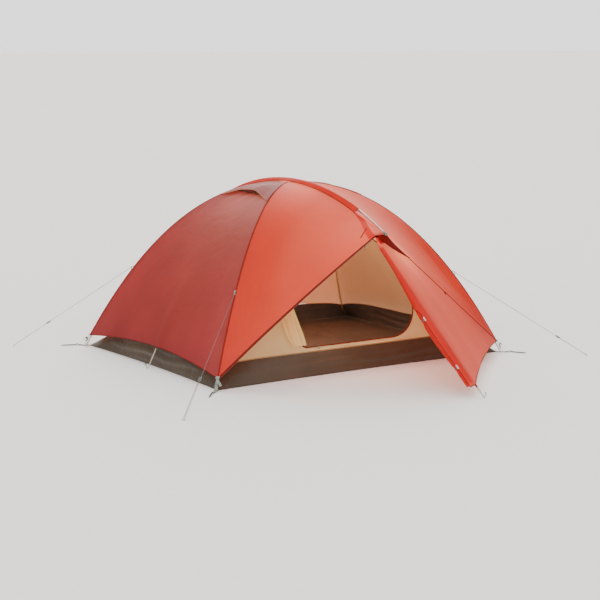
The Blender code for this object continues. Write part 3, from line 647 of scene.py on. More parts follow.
def tube(name: str, points: Sequence[np.ndarray], radius: Union[float, Sequence[float]],
         finish: Finish, sides: int = 10) -> bpy.types.Object:
    """A round bar, cord or piping along a line, with closed ends.

    Args:
        name: The object's name.
        points: Its centre line.
        radius: Its radius, or one for each point.
        finish: Its finish.
        sides: How many sides it has.

    Returns:
        The object.
    """
    line = [np.asarray(point, float) for point in points]
    radii = [radius] * len(line) if isinstance(radius, (int, float)) else list(radius)
    bm = bmesh.new()
    up = np.array([0.0, 0.0, 1.0])
    rings, walked, travelled = [], [], 0.0
    side = None
    for index, point in enumerate(line):
        before, after = line[max(index - 1, 0)], line[min(index + 1, len(line) - 1)]
        along = unit(after - before)
        if side is None:
            side = unit(np.cross(along, up if abs(along[2]) < 0.95 else [1.0, 0.0, 0.0]))
        side = unit(side - along * side.dot(along))
        over = np.cross(side, along)
        travelled += float(np.linalg.norm(point - line[index - 1])) if index else 0.0
        walked.append(travelled)
        ring = []
        for k in range(sides):
            turn = 2 * math.pi * k / sides
            offset = side * math.cos(turn) + over * math.sin(turn)
            ring.append(bm.verts.new(point + offset * radii[index]))
        rings.append(ring)
    girth = 2 * math.pi * max(radii)
    loft(bm, [ring + ring[:1] for ring in rings], [girth * k / sides for k in range(sides + 1)], walked)
    bm.faces.new(list(reversed(rings[0])))
    bm.faces.new(rings[-1])
    bmesh.ops.recalc_face_normals(bm, faces=bm.faces)
    return new_piece(name, bm, finish)


def ribbon(name: str, points: Sequence[np.ndarray], outs: Sequence[np.ndarray], width: float,
           section: Sequence[Section], finish: Finish) -> bpy.types.Object:
    """A strip along a line, such as a seam, tape or strap.

    Args:
        name: The object's name.
        points: Its centre line.
        outs: The way that its face looks at each point.
        width: Its width.
        section: Its cross-section, as shares of its half width and heights in metres.
        finish: Its finish.

    Returns:
        The object.
    """
    bm = bmesh.new()
    rows, walked, travelled = [], [], 0.0
    for index, point in enumerate(points):
        before, after = points[max(index - 1, 0)], points[min(index + 1, len(points) - 1)]
        along = unit(np.asarray(after) - np.asarray(before))
        out = unit(outs[index] - along * np.dot(outs[index], along))
        side = np.cross(along, out)
        travelled += float(np.linalg.norm(points[index] - points[index - 1])) if index else 0.0
        walked.append(travelled)
        rows.append([bm.verts.new(point + side * share * width / 2 + out * height)
                     for share, height in section])
    loft(bm, rows, [share * width / 2 for share, _ in section], walked)
    return new_piece(name, bm, finish)


SEAM_SECTION = ((-1.0, -0.0020), (-0.75, 0.0006), (-0.30, 0.0018), (0.0, 0.0022), (0.30, 0.0018),
                (0.75, 0.0006), (1.0, -0.0020))
TAPE_SECTION = ((-1.0, 0.0), (-0.9, 0.0009), (0.0, 0.0011), (0.9, 0.0009), (1.0, 0.0))


def strap_section(thickness: float) -> Tuple[Section, ...]:
    """A webbing's closed cross-section, with soft edges."""
    half = thickness / 2
    return ((-0.94, -half), (-1.0, 0.0), (-0.94, half), (0.0, half * 1.1), (0.94, half), (1.0, 0.0),
            (0.94, -half), (0.0, -half), (-0.94, -half))


def add_bar(bm: bmesh.types.BMesh, middle: Sequence[float], size: Sequence[float],
            place: Matrix) -> None:
    """Adds a box to a mesh.

    Args:
        bm: The mesh.
        middle: The box's middle, in its own axes.
        size: Its size along each of them.
        place: Where those axes stand.
    """
    for vert in bmesh.ops.create_cube(bm, size=1.0)["verts"]:
        spot = [vert.co[axis] * size[axis] + middle[axis] for axis in range(3)]
        vert.co = place @ Vector(spot)


def box_cage(name: str, boxes: Sequence[Tuple[Sequence[float], Sequence[float]]], frame_of: Matrix,
             finish: Finish, bevel: float) -> bpy.types.Object:
    """A moulded fitting made of rounded bars.

    Args:
        name: The object's name.
        boxes: The middle and the size of each bar, in the fitting's own axes.
        frame_of: The fitting's placement.
        finish: Its finish.
        bevel: The radius of its edges.

    Returns:
        The object.
    """
    bm = bmesh.new()
    for middle, size in boxes:
        add_bar(bm, middle, size, Matrix.Identity(4))
    bmesh.ops.bevel(bm, geom=bm.edges[:], offset=bevel, segments=2, profile=0.6,
                    affect="EDGES", clamp_overlap=True)
    bmesh.ops.transform(bm, matrix=frame_of, verts=bm.verts)
    return new_piece(name, bm, finish)


def ladder(length: float, width: float, height: float, wall: float, bars: int
           ) -> List[Tuple[Tuple[float, float, float], Tuple[float, float, float]]]:
    """The bars of a ladder-shaped fitting: two sides and evenly spaced rungs.

    Args:
        length: Its length.
        width: Its width.
        height: Its thickness.
        wall: How thick each bar is.
        bars: How many rungs it has.

    Returns:
        The middle and the size of each bar.
    """
    sides = [((0.0, sign * (width - wall) / 2, 0.0), (length, wall, height)) for sign in (-1, 1)]
    spots = np.linspace(-(length - wall) / 2, (length - wall) / 2, bars)
    rungs = [((float(spot), 0.0, 0.0), (wall, width - wall, height * 0.8)) for spot in spots]
    return sides + rungs


# ---- the tent's form ------------------------------------------------------------------------


@dataclass(frozen=True)
class TentForm:
    """The pitched tent's shape, which all its cloth and hardware follow."""

    foot_x: float = 1.200
    foot_y: float = 0.950
    apex: float = 1.2234
    arc_shape: float = 2.28
    arc_fall: float = 0.986
    peak_overhang: float = 0.178
    peak_drop: float = 0.2769
    ridge_shape: float = 2.108
    hem_corner: float = 0.078
    hem_rise: float = 0.066
    end_sag: float = 0.016
    side_sag: float = 0.012
    edge_bow: float = 0.018
    peak_shift: float = 0.075
    hood_top: float = 0.078
    hood_lip: float = 0.400
    vent_edge: float = 0.325
    stake_x: float = 0.110
    stake_reach: float = 0.912
    stake_run: float = 0.078
    vest_hem: float = 0.066
    vest_bow: float = 0.030
    inner_inset: float = 0.050
    inner_drop: float = 0.0584
    inner_sag: float = 0.030
    floor_inset_x: float = 0.032
    floor_inset_y: float = 0.026
    floor_pull: float = 0.030
    rim: float = 0.158
    rim_dip: float = 0.030     # the rim is this much lower at the floor's corners
    corner_inset: float = 0.095  # the cabin's corners hang this share further in, just above it
    pole_depth: float = 0.0125
    ridge_rise: float = 0.0140

    @property
    def peak_y(self) -> float:
        """How far the vestibule peaks stand from the crown."""
        return self.foot_y + self.peak_overhang

    @property
    def stake_y(self) -> float:
        """How far the front and rear stakes stand from the middle."""
        return self.peak_y + self.stake_reach

    @property
    def vest_y(self) -> float:
        """How far the vestibules' hem corners stand from the middle."""
        return self.stake_y - self.stake_run

    @property
    def inner_x(self) -> float:
        """Half the inner tent's length at the ground line."""
        return self.foot_x - self.inner_inset

    @property
    def inner_y(self) -> float:
        """Half the inner tent's width at the ground line."""
        return self.foot_y - self.inner_inset

    @property
    def inner_apex(self) -> float:
        """The height of the inner tent's crown."""
        return self.apex - self.inner_drop

    @property
    def foot_share(self) -> float:
        """The share of a long pole's run at which the fly's corner ends."""
        return self.share_at(self.hem_corner)

    def height(self, s: float, apex: Optional[float] = None) -> float:
        """Height of the arch at share s from the crown to the foot."""
        top = self.apex if apex is None else apex
        return top * max(1 - min(abs(s), 1.0) ** self.arc_shape, 0.0) ** self.arc_fall

    def share_at(self, z: float, apex: Optional[float] = None) -> float:
        """The share at which the arch has height z."""
        top = self.apex if apex is None else apex
        return (1 - (z / top) ** (1 / self.arc_fall)) ** (1 / self.arc_shape)

    def leg(self, s: float, sx: int, sy: int) -> np.ndarray:
        """Point of the fly's seam over a long pole."""
        return np.array([s * sx * self.foot_x, s * sy * self.foot_y, self.height(s)])

    def hang(self, point: np.ndarray, w: float) -> np.ndarray:
        """The cabin's point at w along a side, moved in where its corner hangs free of the pole.

        Args:
            point: The point where the cloth is stretched.
            w: Place across, from -1 to 1.

        Returns:
            The point where it hangs.
        """
        loose = smoothstep(0.0, 0.11, point[2]) * (1 - smoothstep(0.25, 0.95, point[2]))
        share = 1 - self.corner_inset * loose * min(abs(w), 1.0) ** 4
        return point * np.array([share, share, 1.0])

    def inner_leg(self, s: float, sx: int, sy: int) -> np.ndarray:
        """Point of the inner tent's seam under a long pole."""
        return self.hang(np.array([s * sx * self.inner_x, s * sy * self.inner_y,
                                   self.height(s, self.inner_apex)]), 1.0)

    def ridge(self, s: float, sy: int) -> np.ndarray:
        """Point of the fly under the ridge pole, from the crown to a peak."""
        return np.array([0.0, sy * s * self.peak_y, self.apex - self.peak_drop * s**self.ridge_shape])

    def hem_share(self, w: float) -> float:
        """Share of an end panel's hem at w, from -1 to 1 between its poles."""
        return self.share_at(self.hem_corner + self.hem_rise * (1 - w * w))

    def across(self, sx: int, s: float, w: float, sag: float, half: Tuple[float, float],
               apex: float) -> np.ndarray:
        """Point of a panel stretched straight across between two poles and pulled in.

        Args:
            sx: The side that the panel faces, -1 or 1.
            s: Share from the crown to the foot.
            w: Place across, from -1 to 1.
            sag: How far its middle is pulled in.
            half: Half its spans, out and across.
            apex: The crown's height.

        Returns:
            The point.
        """
        step = 0.004
        rise = self.height(s + step, apex) - self.height(s - step, apex)
        out = unit([-rise * sx, 0.0, 2 * step * half[0]])
        pull = sag * (1 - w * w) * math.sin(math.pi * min(s, 1.0)) ** 0.7
        return np.array([sx * s * half[0], w * s * half[1], self.height(s, apex)]) - out * pull

    def end_point(self, sx: int, s: float, w: float) -> np.ndarray:
        """Point of the fly's end panel."""
        return self.across(sx, s, w, self.end_sag, (self.foot_x, self.foot_y), self.apex)

    def inner_end_point(self, sx: int, s: float, w: float) -> np.ndarray:
        """Point of the inner tent's end wall."""
        half = (self.inner_x, self.inner_y)
        return self.hang(self.across(sx, s, w, self.inner_sag, half, self.inner_apex), w)

    def inner_side_point(self, sy: int, s: float, w: float) -> np.ndarray:
        """Point of the inner tent's front or rear wall."""
        turned = self.across(sy, s, w, self.inner_sag, (self.inner_y, self.inner_x), self.inner_apex)
        return self.hang(np.array([turned[1], turned[0], turned[2]]), w)

    def side_top(self, s: float, sx: int, sy: int) -> np.ndarray:
        """The ridge edge of a front or rear panel; the open door's corner lies to the left.

        Args:
            s: Share from the crown to the peak.
            sx: The side along X, -1 or 1.
            sy: The side along Y, -1 or 1.

        Returns:
            The point.
        """
        point = self.ridge(s, sy)
        if sy < 0 and sx < 0:
            point[0] -= self.peak_shift * smoothstep(0.72, 1.0, s)
        return point

    def door_edge(self, u: float, sx: int, sy: int) -> np.ndarray:
        """Lower edge of a front or rear panel, from its pole foot to the peak.

        Args:
            u: Share from the foot to the peak.
            sx: The side along X, -1 or 1.
            sy: The side along Y, -1 or 1.

        Returns:
            The point.
        """
        foot, peak = self.leg(self.foot_share, sx, sy), self.side_top(1.0, sx, sy)
        near = lerp(self.leg(0.9 * self.foot_share, sx, sy), self.side_top(0.9, sx, sy), 0.5)
        inside = near - lerp(foot, peak, 0.5)
        along = unit(peak - foot)
        into_panel = unit(inside - along * inside.dot(along))
        bow = self.edge_bow if sx < 0 and sy < 0 else 0.0
        return lerp(foot, peak, u) + into_panel * bow * 4 * u * (1 - u)

    def side_point(self, sx: int, sy: int, u: float, v: float) -> np.ndarray:
        """Point of a front or rear panel: u from pole to ridge, v from crown to lower edge.

        Args:
            sx: The side along X, -1 or 1.
            sy: The side along Y, -1 or 1.
            u: Share from pole to ridge.
            v: Share from crown to edge.

        Returns:
            The point.
        """
        point = lerp(self.leg(v * self.foot_share, sx, sy), self.side_top(v, sx, sy), u)
        chord = lerp(self.leg(self.foot_share, sx, sy), self.side_top(1.0, sx, sy), u)
        point = point + v**6 * (self.door_edge(u, sx, sy) - chord)
        pull = self.side_sag * 4 * u * (1 - u) * max(math.sin(math.pi * min(v, 1.0)), 0.0) ** 0.8
        return point - unit([sx * 0.45, sy * 0.75, 0.55]) * pull

    def vestibule_point(self, sx: int, sy: int, u: float, v: float) -> np.ndarray:
        """Point of a vestibule half: u from front edge to seam, v from peak to hem.

        Args:
            sx: The side along X, -1 or 1.
            sy: The side along Y, -1 or 1.
            u: Share from front edge to seam.
            v: Share from peak to hem.

        Returns:
            The point.
        """
        stake_x = self.stake_x if sy < 0 else 0.0
        front = np.array([stake_x, sy * self.vest_y, self.vest_hem])
        edge = lerp(self.side_top(1.0, -1, sy), front, v)
        seam = lerp(self.ridge(1.0, sy), self.leg(self.foot_share, sx, sy), v)
        return lerp(edge, seam, u)

    def rim_height(self, w: float) -> float:
        """Height of the floor's raised edge at w, from -1 to 1 along a side."""
        return self.rim - self.rim_dip * abs(w) ** 6

    def floor_edge(self, w: float, side: str) -> Tuple[float, float]:
        """Ground point on one side of the floor.

        Args:
            w: Place along the side, from -1 to 1.
            side: The side's name.

        Returns:
            The point's X and Y.
        """
        half_x, half_y = self.foot_x - self.floor_inset_x, self.foot_y - self.floor_inset_y
        pull = self.floor_pull * (1 - w * w)
        return {
            "front": (w * half_x, -(half_y - pull)),
            "right": (half_x - pull, w * half_y),
            "rear": (-w * half_x, half_y - pull),
            "left": (-(half_x - pull), -w * half_y),
        }[side]

    def rim_point(self, w: float, side: str) -> np.ndarray:
        """Top edge of the floor's wall above floor_edge.

        Args:
            w: Place along the side, from -1 to 1.
            side: The side's name.

        Returns:
            The point.
        """
        share = self.share_at(self.rim_height(w), self.inner_apex)
        if side in ("front", "rear"):
            return self.inner_side_point(-1 if side == "front" else 1, share,
                                         w if side == "front" else -w)
        return self.inner_end_point(1 if side == "right" else -1, share,
                                    w if side == "right" else -w)

    def ridge_axis(self, y: float) -> np.ndarray:
        """Centre line of the ridge pole at y."""
        point = self.ridge(abs(y) / self.peak_y, 1 if y >= 0 else -1)
        return np.array([0.0, y, point[2] + self.ridge_rise])

    def pole_axis(self, t: float, sx: int, sy: int) -> np.ndarray:
        """Centre line of a long pole at t, from -1 at one foot to 1 at the other.

        Args:
            t: Place along the pole, from -1 to 1.
            sx: The side along X, -1 or 1.
            sy: The side along Y, -1 or 1.

        Returns:
            The point.
        """
        s, sign = abs(t), 1 if t >= 0 else -1
        reach, step = math.hypot(self.foot_x, self.foot_y), 0.002
        low, high = max(s - step, 0.0), min(s + step, 1.0)
        out = unit([-(self.height(high) - self.height(low)), (high - low) * reach])
        radius = s * reach - out[0] * self.pole_depth
        return np.array([sign * sx * radius * self.foot_x / reach,
                         sign * sy * radius * self.foot_y / reach,
                         self.height(s) - out[1] * self.pole_depth])

    def radial(self, corner: Corner) -> np.ndarray:
        """The level way out from the crown over a corner."""
        return unit([corner.sx * self.foot_x, corner.sy * self.foot_y, 0.0])


FORM = TentForm()


# ---- studio ---------------------------------------------------------------------------------


@dataclass
class Studio:
    """The pale floor, the soft light and the camera."""

    eye: Tuple[float, float, float] = (-6.2321, -9.5276, 2.2046)
    target: Tuple[float, float, float] = (0.2320, 0.2339, 0.3066)
    lens: float = 95.38
    floor_colour: str = "#F6F6F4"
    backdrop: float = 1.9
    fill_power: float = 15.0
    porch_power: float = 4.5

    def camera(self) -> None:
        """The camera, at a standing person's height, to the left of the open door."""
        data = bpy.data.cameras.new("camera")
        data.lens = self.lens
        data.sensor_width = 36.0
        camera = bpy.data.objects.new("camera", data)
        camera.location = self.eye
        way = Vector(self.target) - Vector(self.eye)
        camera.rotation_euler = way.to_track_quat("-Z", "Y").to_euler()
        bpy.context.scene.collection.objects.link(camera)
        bpy.context.scene.camera = camera

    def floor(self) -> None:
        """A wide pale floor."""
        bm = bmesh.new()
        bmesh.ops.create_grid(bm, x_segments=1, y_segments=1, size=300.0)
        material, tree, output = new_material("studio_floor_pale", self.floor_colour)
        face = add(tree, "ShaderNodeBsdfPrincipled",
                   {"Base Color": linear(self.floor_colour), "Roughness": 0.9})
        tree.links.new(face.outputs[0], output.inputs["Surface"])
        mesh = bpy.data.meshes.new("studio_floor")
        bm.to_mesh(mesh)
        bm.free()
        mesh.materials.append(material)
        plane = bpy.data.objects.new("studio_floor", mesh)
        plane.location.z = -0.0006
        bpy.context.scene.collection.objects.link(plane)

    def light(self, name: str, way: Sequence[float], power: float, spread: float,
              colour: str = "#FFFFFF") -> None:
        """One broad soft light, far enough off to reach the whole floor evenly.

        Args:
            name: Its name.
            way: The way from the tent to the light.
            power: Its strength.
            spread: Its width as an angle, in degrees.
            colour: Its colour in hex.
        """
        data = bpy.data.lights.new(name, "SUN")
        data.angle = math.radians(spread)
        data.energy = power
        data.color = linear(colour)[:3]
        lamp = bpy.data.objects.new(name, data)
        lamp.rotation_euler = (-Vector(way)).to_track_quat("-Z", "Y").to_euler()
        lamp.location = Vector(way).normalized() * 12
        bpy.context.scene.collection.objects.link(lamp)

    def fill(self, name: str, place: Sequence[float], power: float) -> None:
        """A weak soft lamp for the daylight that filters in through the cloth.

        Args:
            name: Its name.
            place: Where it hangs.
            power: Its strength in watts.
        """
        data = bpy.data.lights.new(name, "POINT")
        data.energy = power
        data.color = linear("#FFE6C4")[:3]
        data.shadow_soft_size = 0.16
        lamp = bpy.data.objects.new(name, data)
        lamp.location = place
        lamp.visible_camera = False
        bpy.context.scene.collection.objects.link(lamp)

    def build(self) -> None:
        """Makes the whole studio: the backdrop is a little brighter than the light it gives."""
        self.camera()
        self.floor()
        world = bpy.data.worlds.new("studio")
        world.use_nodes = True
        tree = world.node_tree
        seen = add(tree, "ShaderNodeLightPath")
        bright = add(tree, "ShaderNodeMapRange", {"To Min": 0.50, "To Max": self.backdrop},
                     {"Value": seen.outputs["Is Camera Ray"]})
        tree.links.new(bright.outputs[0], tree.nodes["Background"].inputs["Strength"])
        tree.nodes["Background"].inputs["Color"].default_value = linear("#FFFFFF")
        bpy.context.scene.world = world
        self.light("key_left", (-2.8, -1.9, 1.5), 2.3, 70.0)
        self.light("key_top", (0.9, -1.2, 3.4), 0.9, 70.0)
        self.light("low_front", (-0.2, -3.4, 0.9), 1.0, 60.0, "#FFF6EC")
        self.light("back_right", (1.6, 2.8, 2.3), 4.0, 60.0, "#FFF6EC")
        self.fill("cabin_fill", (0.05, -0.15, 0.78), self.fill_power)
        self.fill("porch_fill", (0.10, -1.02, 0.72), self.porch_power)


# ---- cords ----------------------------------------------------------------------------------


@dataclass
class GuyLine:
    """One guy line: a taut strand down to its ground loop, and back up to its runner."""

    corner: Corner
    share: float
    out: Tuple[float, float]
    runner: float
    diameter: float = 0.003
    loop_r: float = 0.007
    spread: float = 0.030
    lane: float = 0.0030
    runner_l: float = 0.032
    runner_w: float = 0.017
    runner_h: float = 0.010
    runner_wall: float = 0.0024
    grip: float = 0.42
    offset: Tuple[float, float] = (0.010, 0.006)
    closest: float = 0.068     # the runner stops this far above the ground loop

    def build(self) -> None:
        """Makes the strands, the runner and the loop that holds the line on the fly."""
        sx, sy, label = self.corner.sx, self.corner.sy, self.corner.label
        radial = FORM.radial(self.corner)
        start = FORM.leg(self.share, sx, sy) + radial * self.offset[0] + [0, 0, self.offset[1]]
        end = np.array([sx * FORM.foot_x + self.out[0], sy * FORM.foot_y + self.out[1],
                        self.diameter / 2 + 0.001])
        along = unit(end - start)
        aside = unit(np.cross(along, [0, 0, 1]))
        centre = end - along * self.loop_r
        length = float(np.linalg.norm(end - start))
        opened = length - self.loop_r - self.spread
        down = [start + along * d - aside * self.lane for d in np.linspace(0, opened, 6)]
        for k in range(7):
            turn = math.radians(lerp(-90, 90, k / 6))
            down.append(centre + (along * math.cos(turn) + aside * math.sin(turn)) * self.loop_r)
        back = start + along * (length - self.runner - self.runner_l * self.grip)
        up = [down[-1], start + along * opened + aside * self.lane, back + aside * self.lane]
        tensioner = self._runner(start + along * (length - self.runner), along, aside)
        main = tube(f"guy_strand_{label}", down, self.diameter / 2, CORD_GREY)
        fit(main, "tent", Slot.GUY, f"guy_line_{label}")
        tail = tube(f"guy_tail_{label}", up, self.diameter / 2, CORD_GREY)
        fit(tail, "tent", Slot.GUY, f"guy_line_{label}")
        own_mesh(tail)
        self._anchor(start, radial)

    def _runner(self, middle: np.ndarray, along: np.ndarray, aside: np.ndarray) -> bpy.types.Object:
        """The tensioner: a moulded ladder that the cord passes through.

        Args:
            middle: Its middle.
            along: The way that the cord runs.
            aside: The way across it.

        Returns:
            The object.
        """
        place = placement(middle, along, aside)
        bars = ladder(self.runner_l, self.runner_w, self.runner_h, self.runner_wall * 1.2, 3)
        piece = box_cage(f"guy_tensioner_{self.corner.label}", bars, place, PLASTIC_GREY, 0.0009)
        return fit(piece, f"runner_{self.corner.label}", Slot.PLASTIC,
                   f"guy_runner_{self.corner.label}")

    def _anchor(self, start: np.ndarray, radial: np.ndarray) -> None:
        """The webbing loop at the pole's seam.

        Args:
            start: Where the cord is tied.
            radial: The level way out from the crown.
        """
        sx, sy, label = self.corner.sx, self.corner.sy, self.corner.label
        root = FORM.leg(self.share, sx, sy)
        lower = FORM.leg(self.share + 0.022, sx, sy)
        run = unit(lower - root)
        out = unit(np.cross(np.cross(run, radial + [0, 0, 0.4]), run))
        loop = [root - run * 0.016 + out * 0.001, root - run * 0.006 + out * 0.010,
                start + out * 0.004, root + run * 0.008 + out * 0.009, root + run * 0.016 + out * 0.001]
        side = np.cross(run, out)
        tab = ribbon(f"guy_tab_{label}", spaced(loop, 15), [side] * 15, 0.004,
                     strap_section(0.010), WEBBING_GREY)
        fit(tab, "tent", Slot.WEBBING)


@dataclass
class TieDown:
    """An elastic loop that holds a hem down on its peg."""

    name: str
    node: str
    body: str
    hem: np.ndarray
    hook: np.ndarray
    spread: np.ndarray
    finish: Finish
    diameter: float = 0.003

    def build(self) -> None:
        """Makes the loop of elastic and the webbing tab that it is knotted to."""
        half = self.spread * 0.0035
        down = unit(self.hook - self.hem)
        turn = [self.hook + down * 0.0030 * math.sin(a) - half * math.cos(a)
                for a in np.linspace(0, math.pi, 7)]
        route = spaced([self.hem - half, self.hook - half], 9) + turn[1:-1] + spaced(
            [self.hook + half, self.hem + half], 9)
        loop = tube(self.name, route, self.diameter / 2, self.finish)
        fit(loop, self.body, Slot.TIE, self.node)
        tab = ribbon(f"{self.name}_tab", spaced([self.hem - down * 0.020, self.hem + down * 0.004], 6),
                     [np.cross(self.spread, down)] * 6, 0.016, strap_section(0.0022), BINDING_DARK)
        fit(tab, self.body, Slot.WEBBING)


@dataclass
class Cords:
    """All the guy lines and ties."""

    tie_y: float = -0.060
    hook: Tuple[float, float] = (0.006, 0.012)
    tie_out: float = 0.010
    tie_drop: float = 0.008
    peg_out: float = 0.012

    def build(self) -> None:
        """Makes the four guy lines, the two hem ties and the two vestibule ties."""
        GuyLine(Corner.FRONT_LEFT, 0.755, (-0.556, -0.570), 0.390).build()
        GuyLine(Corner.FRONT_RIGHT, 0.762, (0.417, -0.431), 0.245).build()
        GuyLine(Corner.REAR_LEFT, 0.757, (-0.449, 0.263), 0.316).build()
        GuyLine(Corner.REAR_RIGHT, 0.757, (0.520, 0.480), 0.300).build()
        for side, sx in SIDES:
            w = self.tie_y / FORM.foot_y
            hem = FORM.end_point(sx, FORM.hem_share(w), w) + [sx * self.tie_out, 0, -self.tie_drop]
            foot = np.array([sx * (FORM.foot_x + self.peg_out - self.hook[0]), self.tie_y, self.hook[1]])
            TieDown(f"hem_tie_{side}", f"hem_cord_{side}", "tent", hem, foot,
                    np.array([0.0, 1.0, 0.0]), ELASTIC_CREAM).build()
        for end, sy, stake_x, body in (("front", -1, FORM.stake_x, "front_door"),
                                       ("rear", 1, 0.0, "tent")):
            hem = np.array([stake_x, sy * (FORM.vest_y + self.hook[0]),
                            FORM.vest_hem - self.tie_drop / 2])
            foot = np.array([stake_x, sy * (FORM.stake_y - self.hook[0]), self.hook[1]])
            TieDown(f"vestibule_tie_{end}", f"vestibule_cord_{end}", body, hem, foot,
                    np.array([1.0, 0.0, 0.0]), ELASTIC_GREY).build()


# ---- fly ------------------------------------------------------------------------------------


@dataclass
class Fly:
    """The outer tent: two wine-red ends, four red panels, their seams, hems and ridge sleeve."""

    seam_width: float = 0.012
    hem_r: float = 0.0024
    panel_top: float = 0.045
    crown_r: float = 0.072
    sleeve_reach: float = 0.835
    sleeve_half: float = 0.030
    sleeve_r: float = 0.0090

    def build(self) -> None:
        """Makes every panel and seam."""
        self._ends()
        self._sides()
        self._seams()
        self._seam_tab()
        self._crown()
        self._sleeve()
        self._peaks()

    def _ends(self) -> None:
        """The end panels, whose hems are bound and tied down at the middle."""
        top = FORM.vent_edge / FORM.foot_x
        for side, sx in SIDES:

            def surface(u: float, v: float, sx: int = sx) -> np.ndarray:
                """Point of the end panel, from the vent's edge to the hem."""
                w = 2 * u - 1
                return FORM.end_point(sx, lerp(top, FORM.hem_share(w), v), w)

            def relief(u: float, v: float) -> float:
                """Pleats beside the poles, a tuck at the tie and a slow billow."""
                w = 2 * u - 1
                tie = 0.007 * bell(w, -0.063, 0.05 + 0.10 * (1 - v)) * smoothstep(0.55, 1.0, v)
                rim = 1 - abs(w)
                pleats = 0.0045 * math.sin(rim * 95 + 3 * v) * math.exp(-rim / 0.07)
                billow = 0.004 * math.sin(3.1 * u + 5.0 * v) * math.sin(math.pi * u) * math.sin(math.pi * v)
                mouth = 0.004 * math.sin(9 * math.pi * u) * bell(v, 0.0, 0.10) * (1 - w * w)
                return (tie + pleats * smoothstep(0.35, 0.8, v) * min(rim / 0.02, 1.0)
                        + billow + mouth)

            cloth = Cloth(f"fly_end_cloth_{side}", surface, 72, 64, FLY_WINE, relief)
            panel = fit(cloth.build(), "tent", Slot.FLY_DARK, f"fly_end_{side}")
            hem_line = [FORM.end_point(sx, FORM.hem_share(w), w) for w in np.linspace(-0.995, 0.995, 60)]
            hem = tube(f"fly_hem_{side}", hem_line, self.hem_r, BINDING_DARK, 8)
            fit(hem, "tent", Slot.FLY_DARK)
            lip_line = [FORM.end_point(sx, top, w) for w in np.linspace(-0.99, 0.99, 40)]
            lip = tube(f"vent_edge_{side}", lip_line, 0.0022, BINDING_DARK, 8)
            fit(lip, "tent", Slot.FLY_DARK)

    def _sides(self) -> None:
        """The four red panels, with the pull of the poles drawn in their lower corners."""
        for corner in Corner:
            sx, sy, label = corner.sx, corner.sy, corner.label

            def surface(u: float, v: float, sx: int = sx, sy: int = sy) -> np.ndarray:
                """Point of the panel, from under the crown patch to its lower edge."""
                return FORM.side_point(sx, sy, u, lerp(self.panel_top, 0.999, v))

            def relief(u: float, v: float, sx: int = sx) -> float:
                """Folds beside the corner and a slow billow."""
                strength = 0.0085 if sx > 0 else 0.0008
                low = bell(v, 0.80, 0.13) * smoothstep(0.0, 0.03, u) * (1 - smoothstep(0.14, 0.26, u))
                folds = strength * low * math.sin(2 * math.pi * (u / 0.062 - 0.7 * v))
                billow = 0.004 * math.sin(4.2 * u + 3.7 * v + sx) * math.sin(math.pi * v)
                flap = 0.006 * bell(v, 0.945, 0.028) * (1 - smoothstep(0.35, 0.75, u)) * min(u / 0.05, 1)
                return folds + billow * 4 * u * (1 - u) + flap

            cloth = Cloth(f"fly_cloth_{label}", surface, 88, 72, FLY_RED, relief)
            panel = fit(cloth.build(), "tent", Slot.FLY_RED, f"fly_{label}")

    def _seams(self) -> None:
        """The felled seams over the long poles, and the tapes along the lower edges."""
        for corner in Corner:
            sx, sy, label = corner.sx, corner.sy, corner.label
            shares = np.linspace(0.055, FORM.foot_share, 90)
            line = [FORM.leg(s, sx, sy) for s in shares]
            outs = []
            for index in range(len(line)):
                before, after = line[max(index - 1, 0)], line[min(index + 1, len(line) - 1)]
                along = unit(after - before)
                flat = np.cross([0.0, 0.0, 1.0], along)
                outs.append(unit(np.cross(along, flat)))
            # The seam's dark red is partly painted shade for the shadow line along it.
            seam = ribbon(f"fly_seam_{label}", line, outs, self.seam_width, SEAM_SECTION, SEAM_RED_AND_SHADE)
            fit(seam, "tent", Slot.FLY_RED)
            self._edge_tape(corner)

    def _seam_tab(self) -> None:
        """The short webbing tab sewn into the seam beside the open door."""
        root = FORM.vestibule_point(1, -1, 0.995, 0.52)
        line = [root + np.array([-0.006, -0.010, 0.004]), root + np.array([-0.018, -0.022, 0.002]),
                root + np.array([-0.024, -0.026, -0.014]), root + np.array([-0.016, -0.018, -0.028])]
        # The tab takes the dark crimson material that paints shade in the folds.
        tab = ribbon("seam_tab_front_right", spaced(line, 12), [unit([0.3, -0.8, 0.5])] * 12, 0.018,
                     strap_section(0.0016), FLY_PAINTED_SHADE)
        fit(tab, "front_door", Slot.FLY_DARK)

    def _edge_tape(self, corner: Corner) -> None:
        """The zip tape on the open door's edge, or the seam with the vestibule elsewhere.

        Args:
            corner: The panel's corner.
        """
        sx, sy, label = corner.sx, corner.sy, corner.label
        stops = np.linspace(0.004, 0.996, 80)
        line = [FORM.door_edge(u, sx, sy) for u in stops]
        inside = [FORM.side_point(sx, sy, u, 0.96) - FORM.door_edge(u, sx, sy) for u in stops]
        outs, below = [], []
        for index, point in enumerate(line):
            along = unit(line[min(index + 1, 79)] - line[max(index - 1, 0)])
            into = unit(inside[index] - along * inside[index].dot(along))
            out = np.cross(along, into)
            outs.append(out if out.dot([sx * 0.3, sy, 0.4]) > 0 else -out)
            below.append(into)
        if corner is Corner.FRONT_LEFT:
            middle = [p - b * 0.003 for p, b in zip(line, below)]
            tape = ribbon("door_zip_tape", middle, outs, 0.016, TAPE_SECTION, BINDING_DARK)
            fit(tape, "tent", Slot.FLY_DARK)
            coil_line = [p - b * 0.0105 + o * 0.0008 for p, b, o in zip(line, below, outs)]
            coil = tube("door_zip_coil", coil_line, 0.0017, ZIP_COIL, 8)
            fit(coil, "tent", Slot.FLY_DARK)
            return
        # The seam's dark red is partly painted shade for the shadow line where the panels overlap.
        seam = ribbon(f"vestibule_seam_{label}", [p + o * 0.001 for p, o in zip(line, outs)], outs,
                      0.012, SEAM_SECTION, SEAM_RED_AND_SHADE)
        fit(seam, "tent", Slot.FLY_RED)

    def _crown(self) -> None:
        """The round patch over the crossing, sewn through all the panels."""

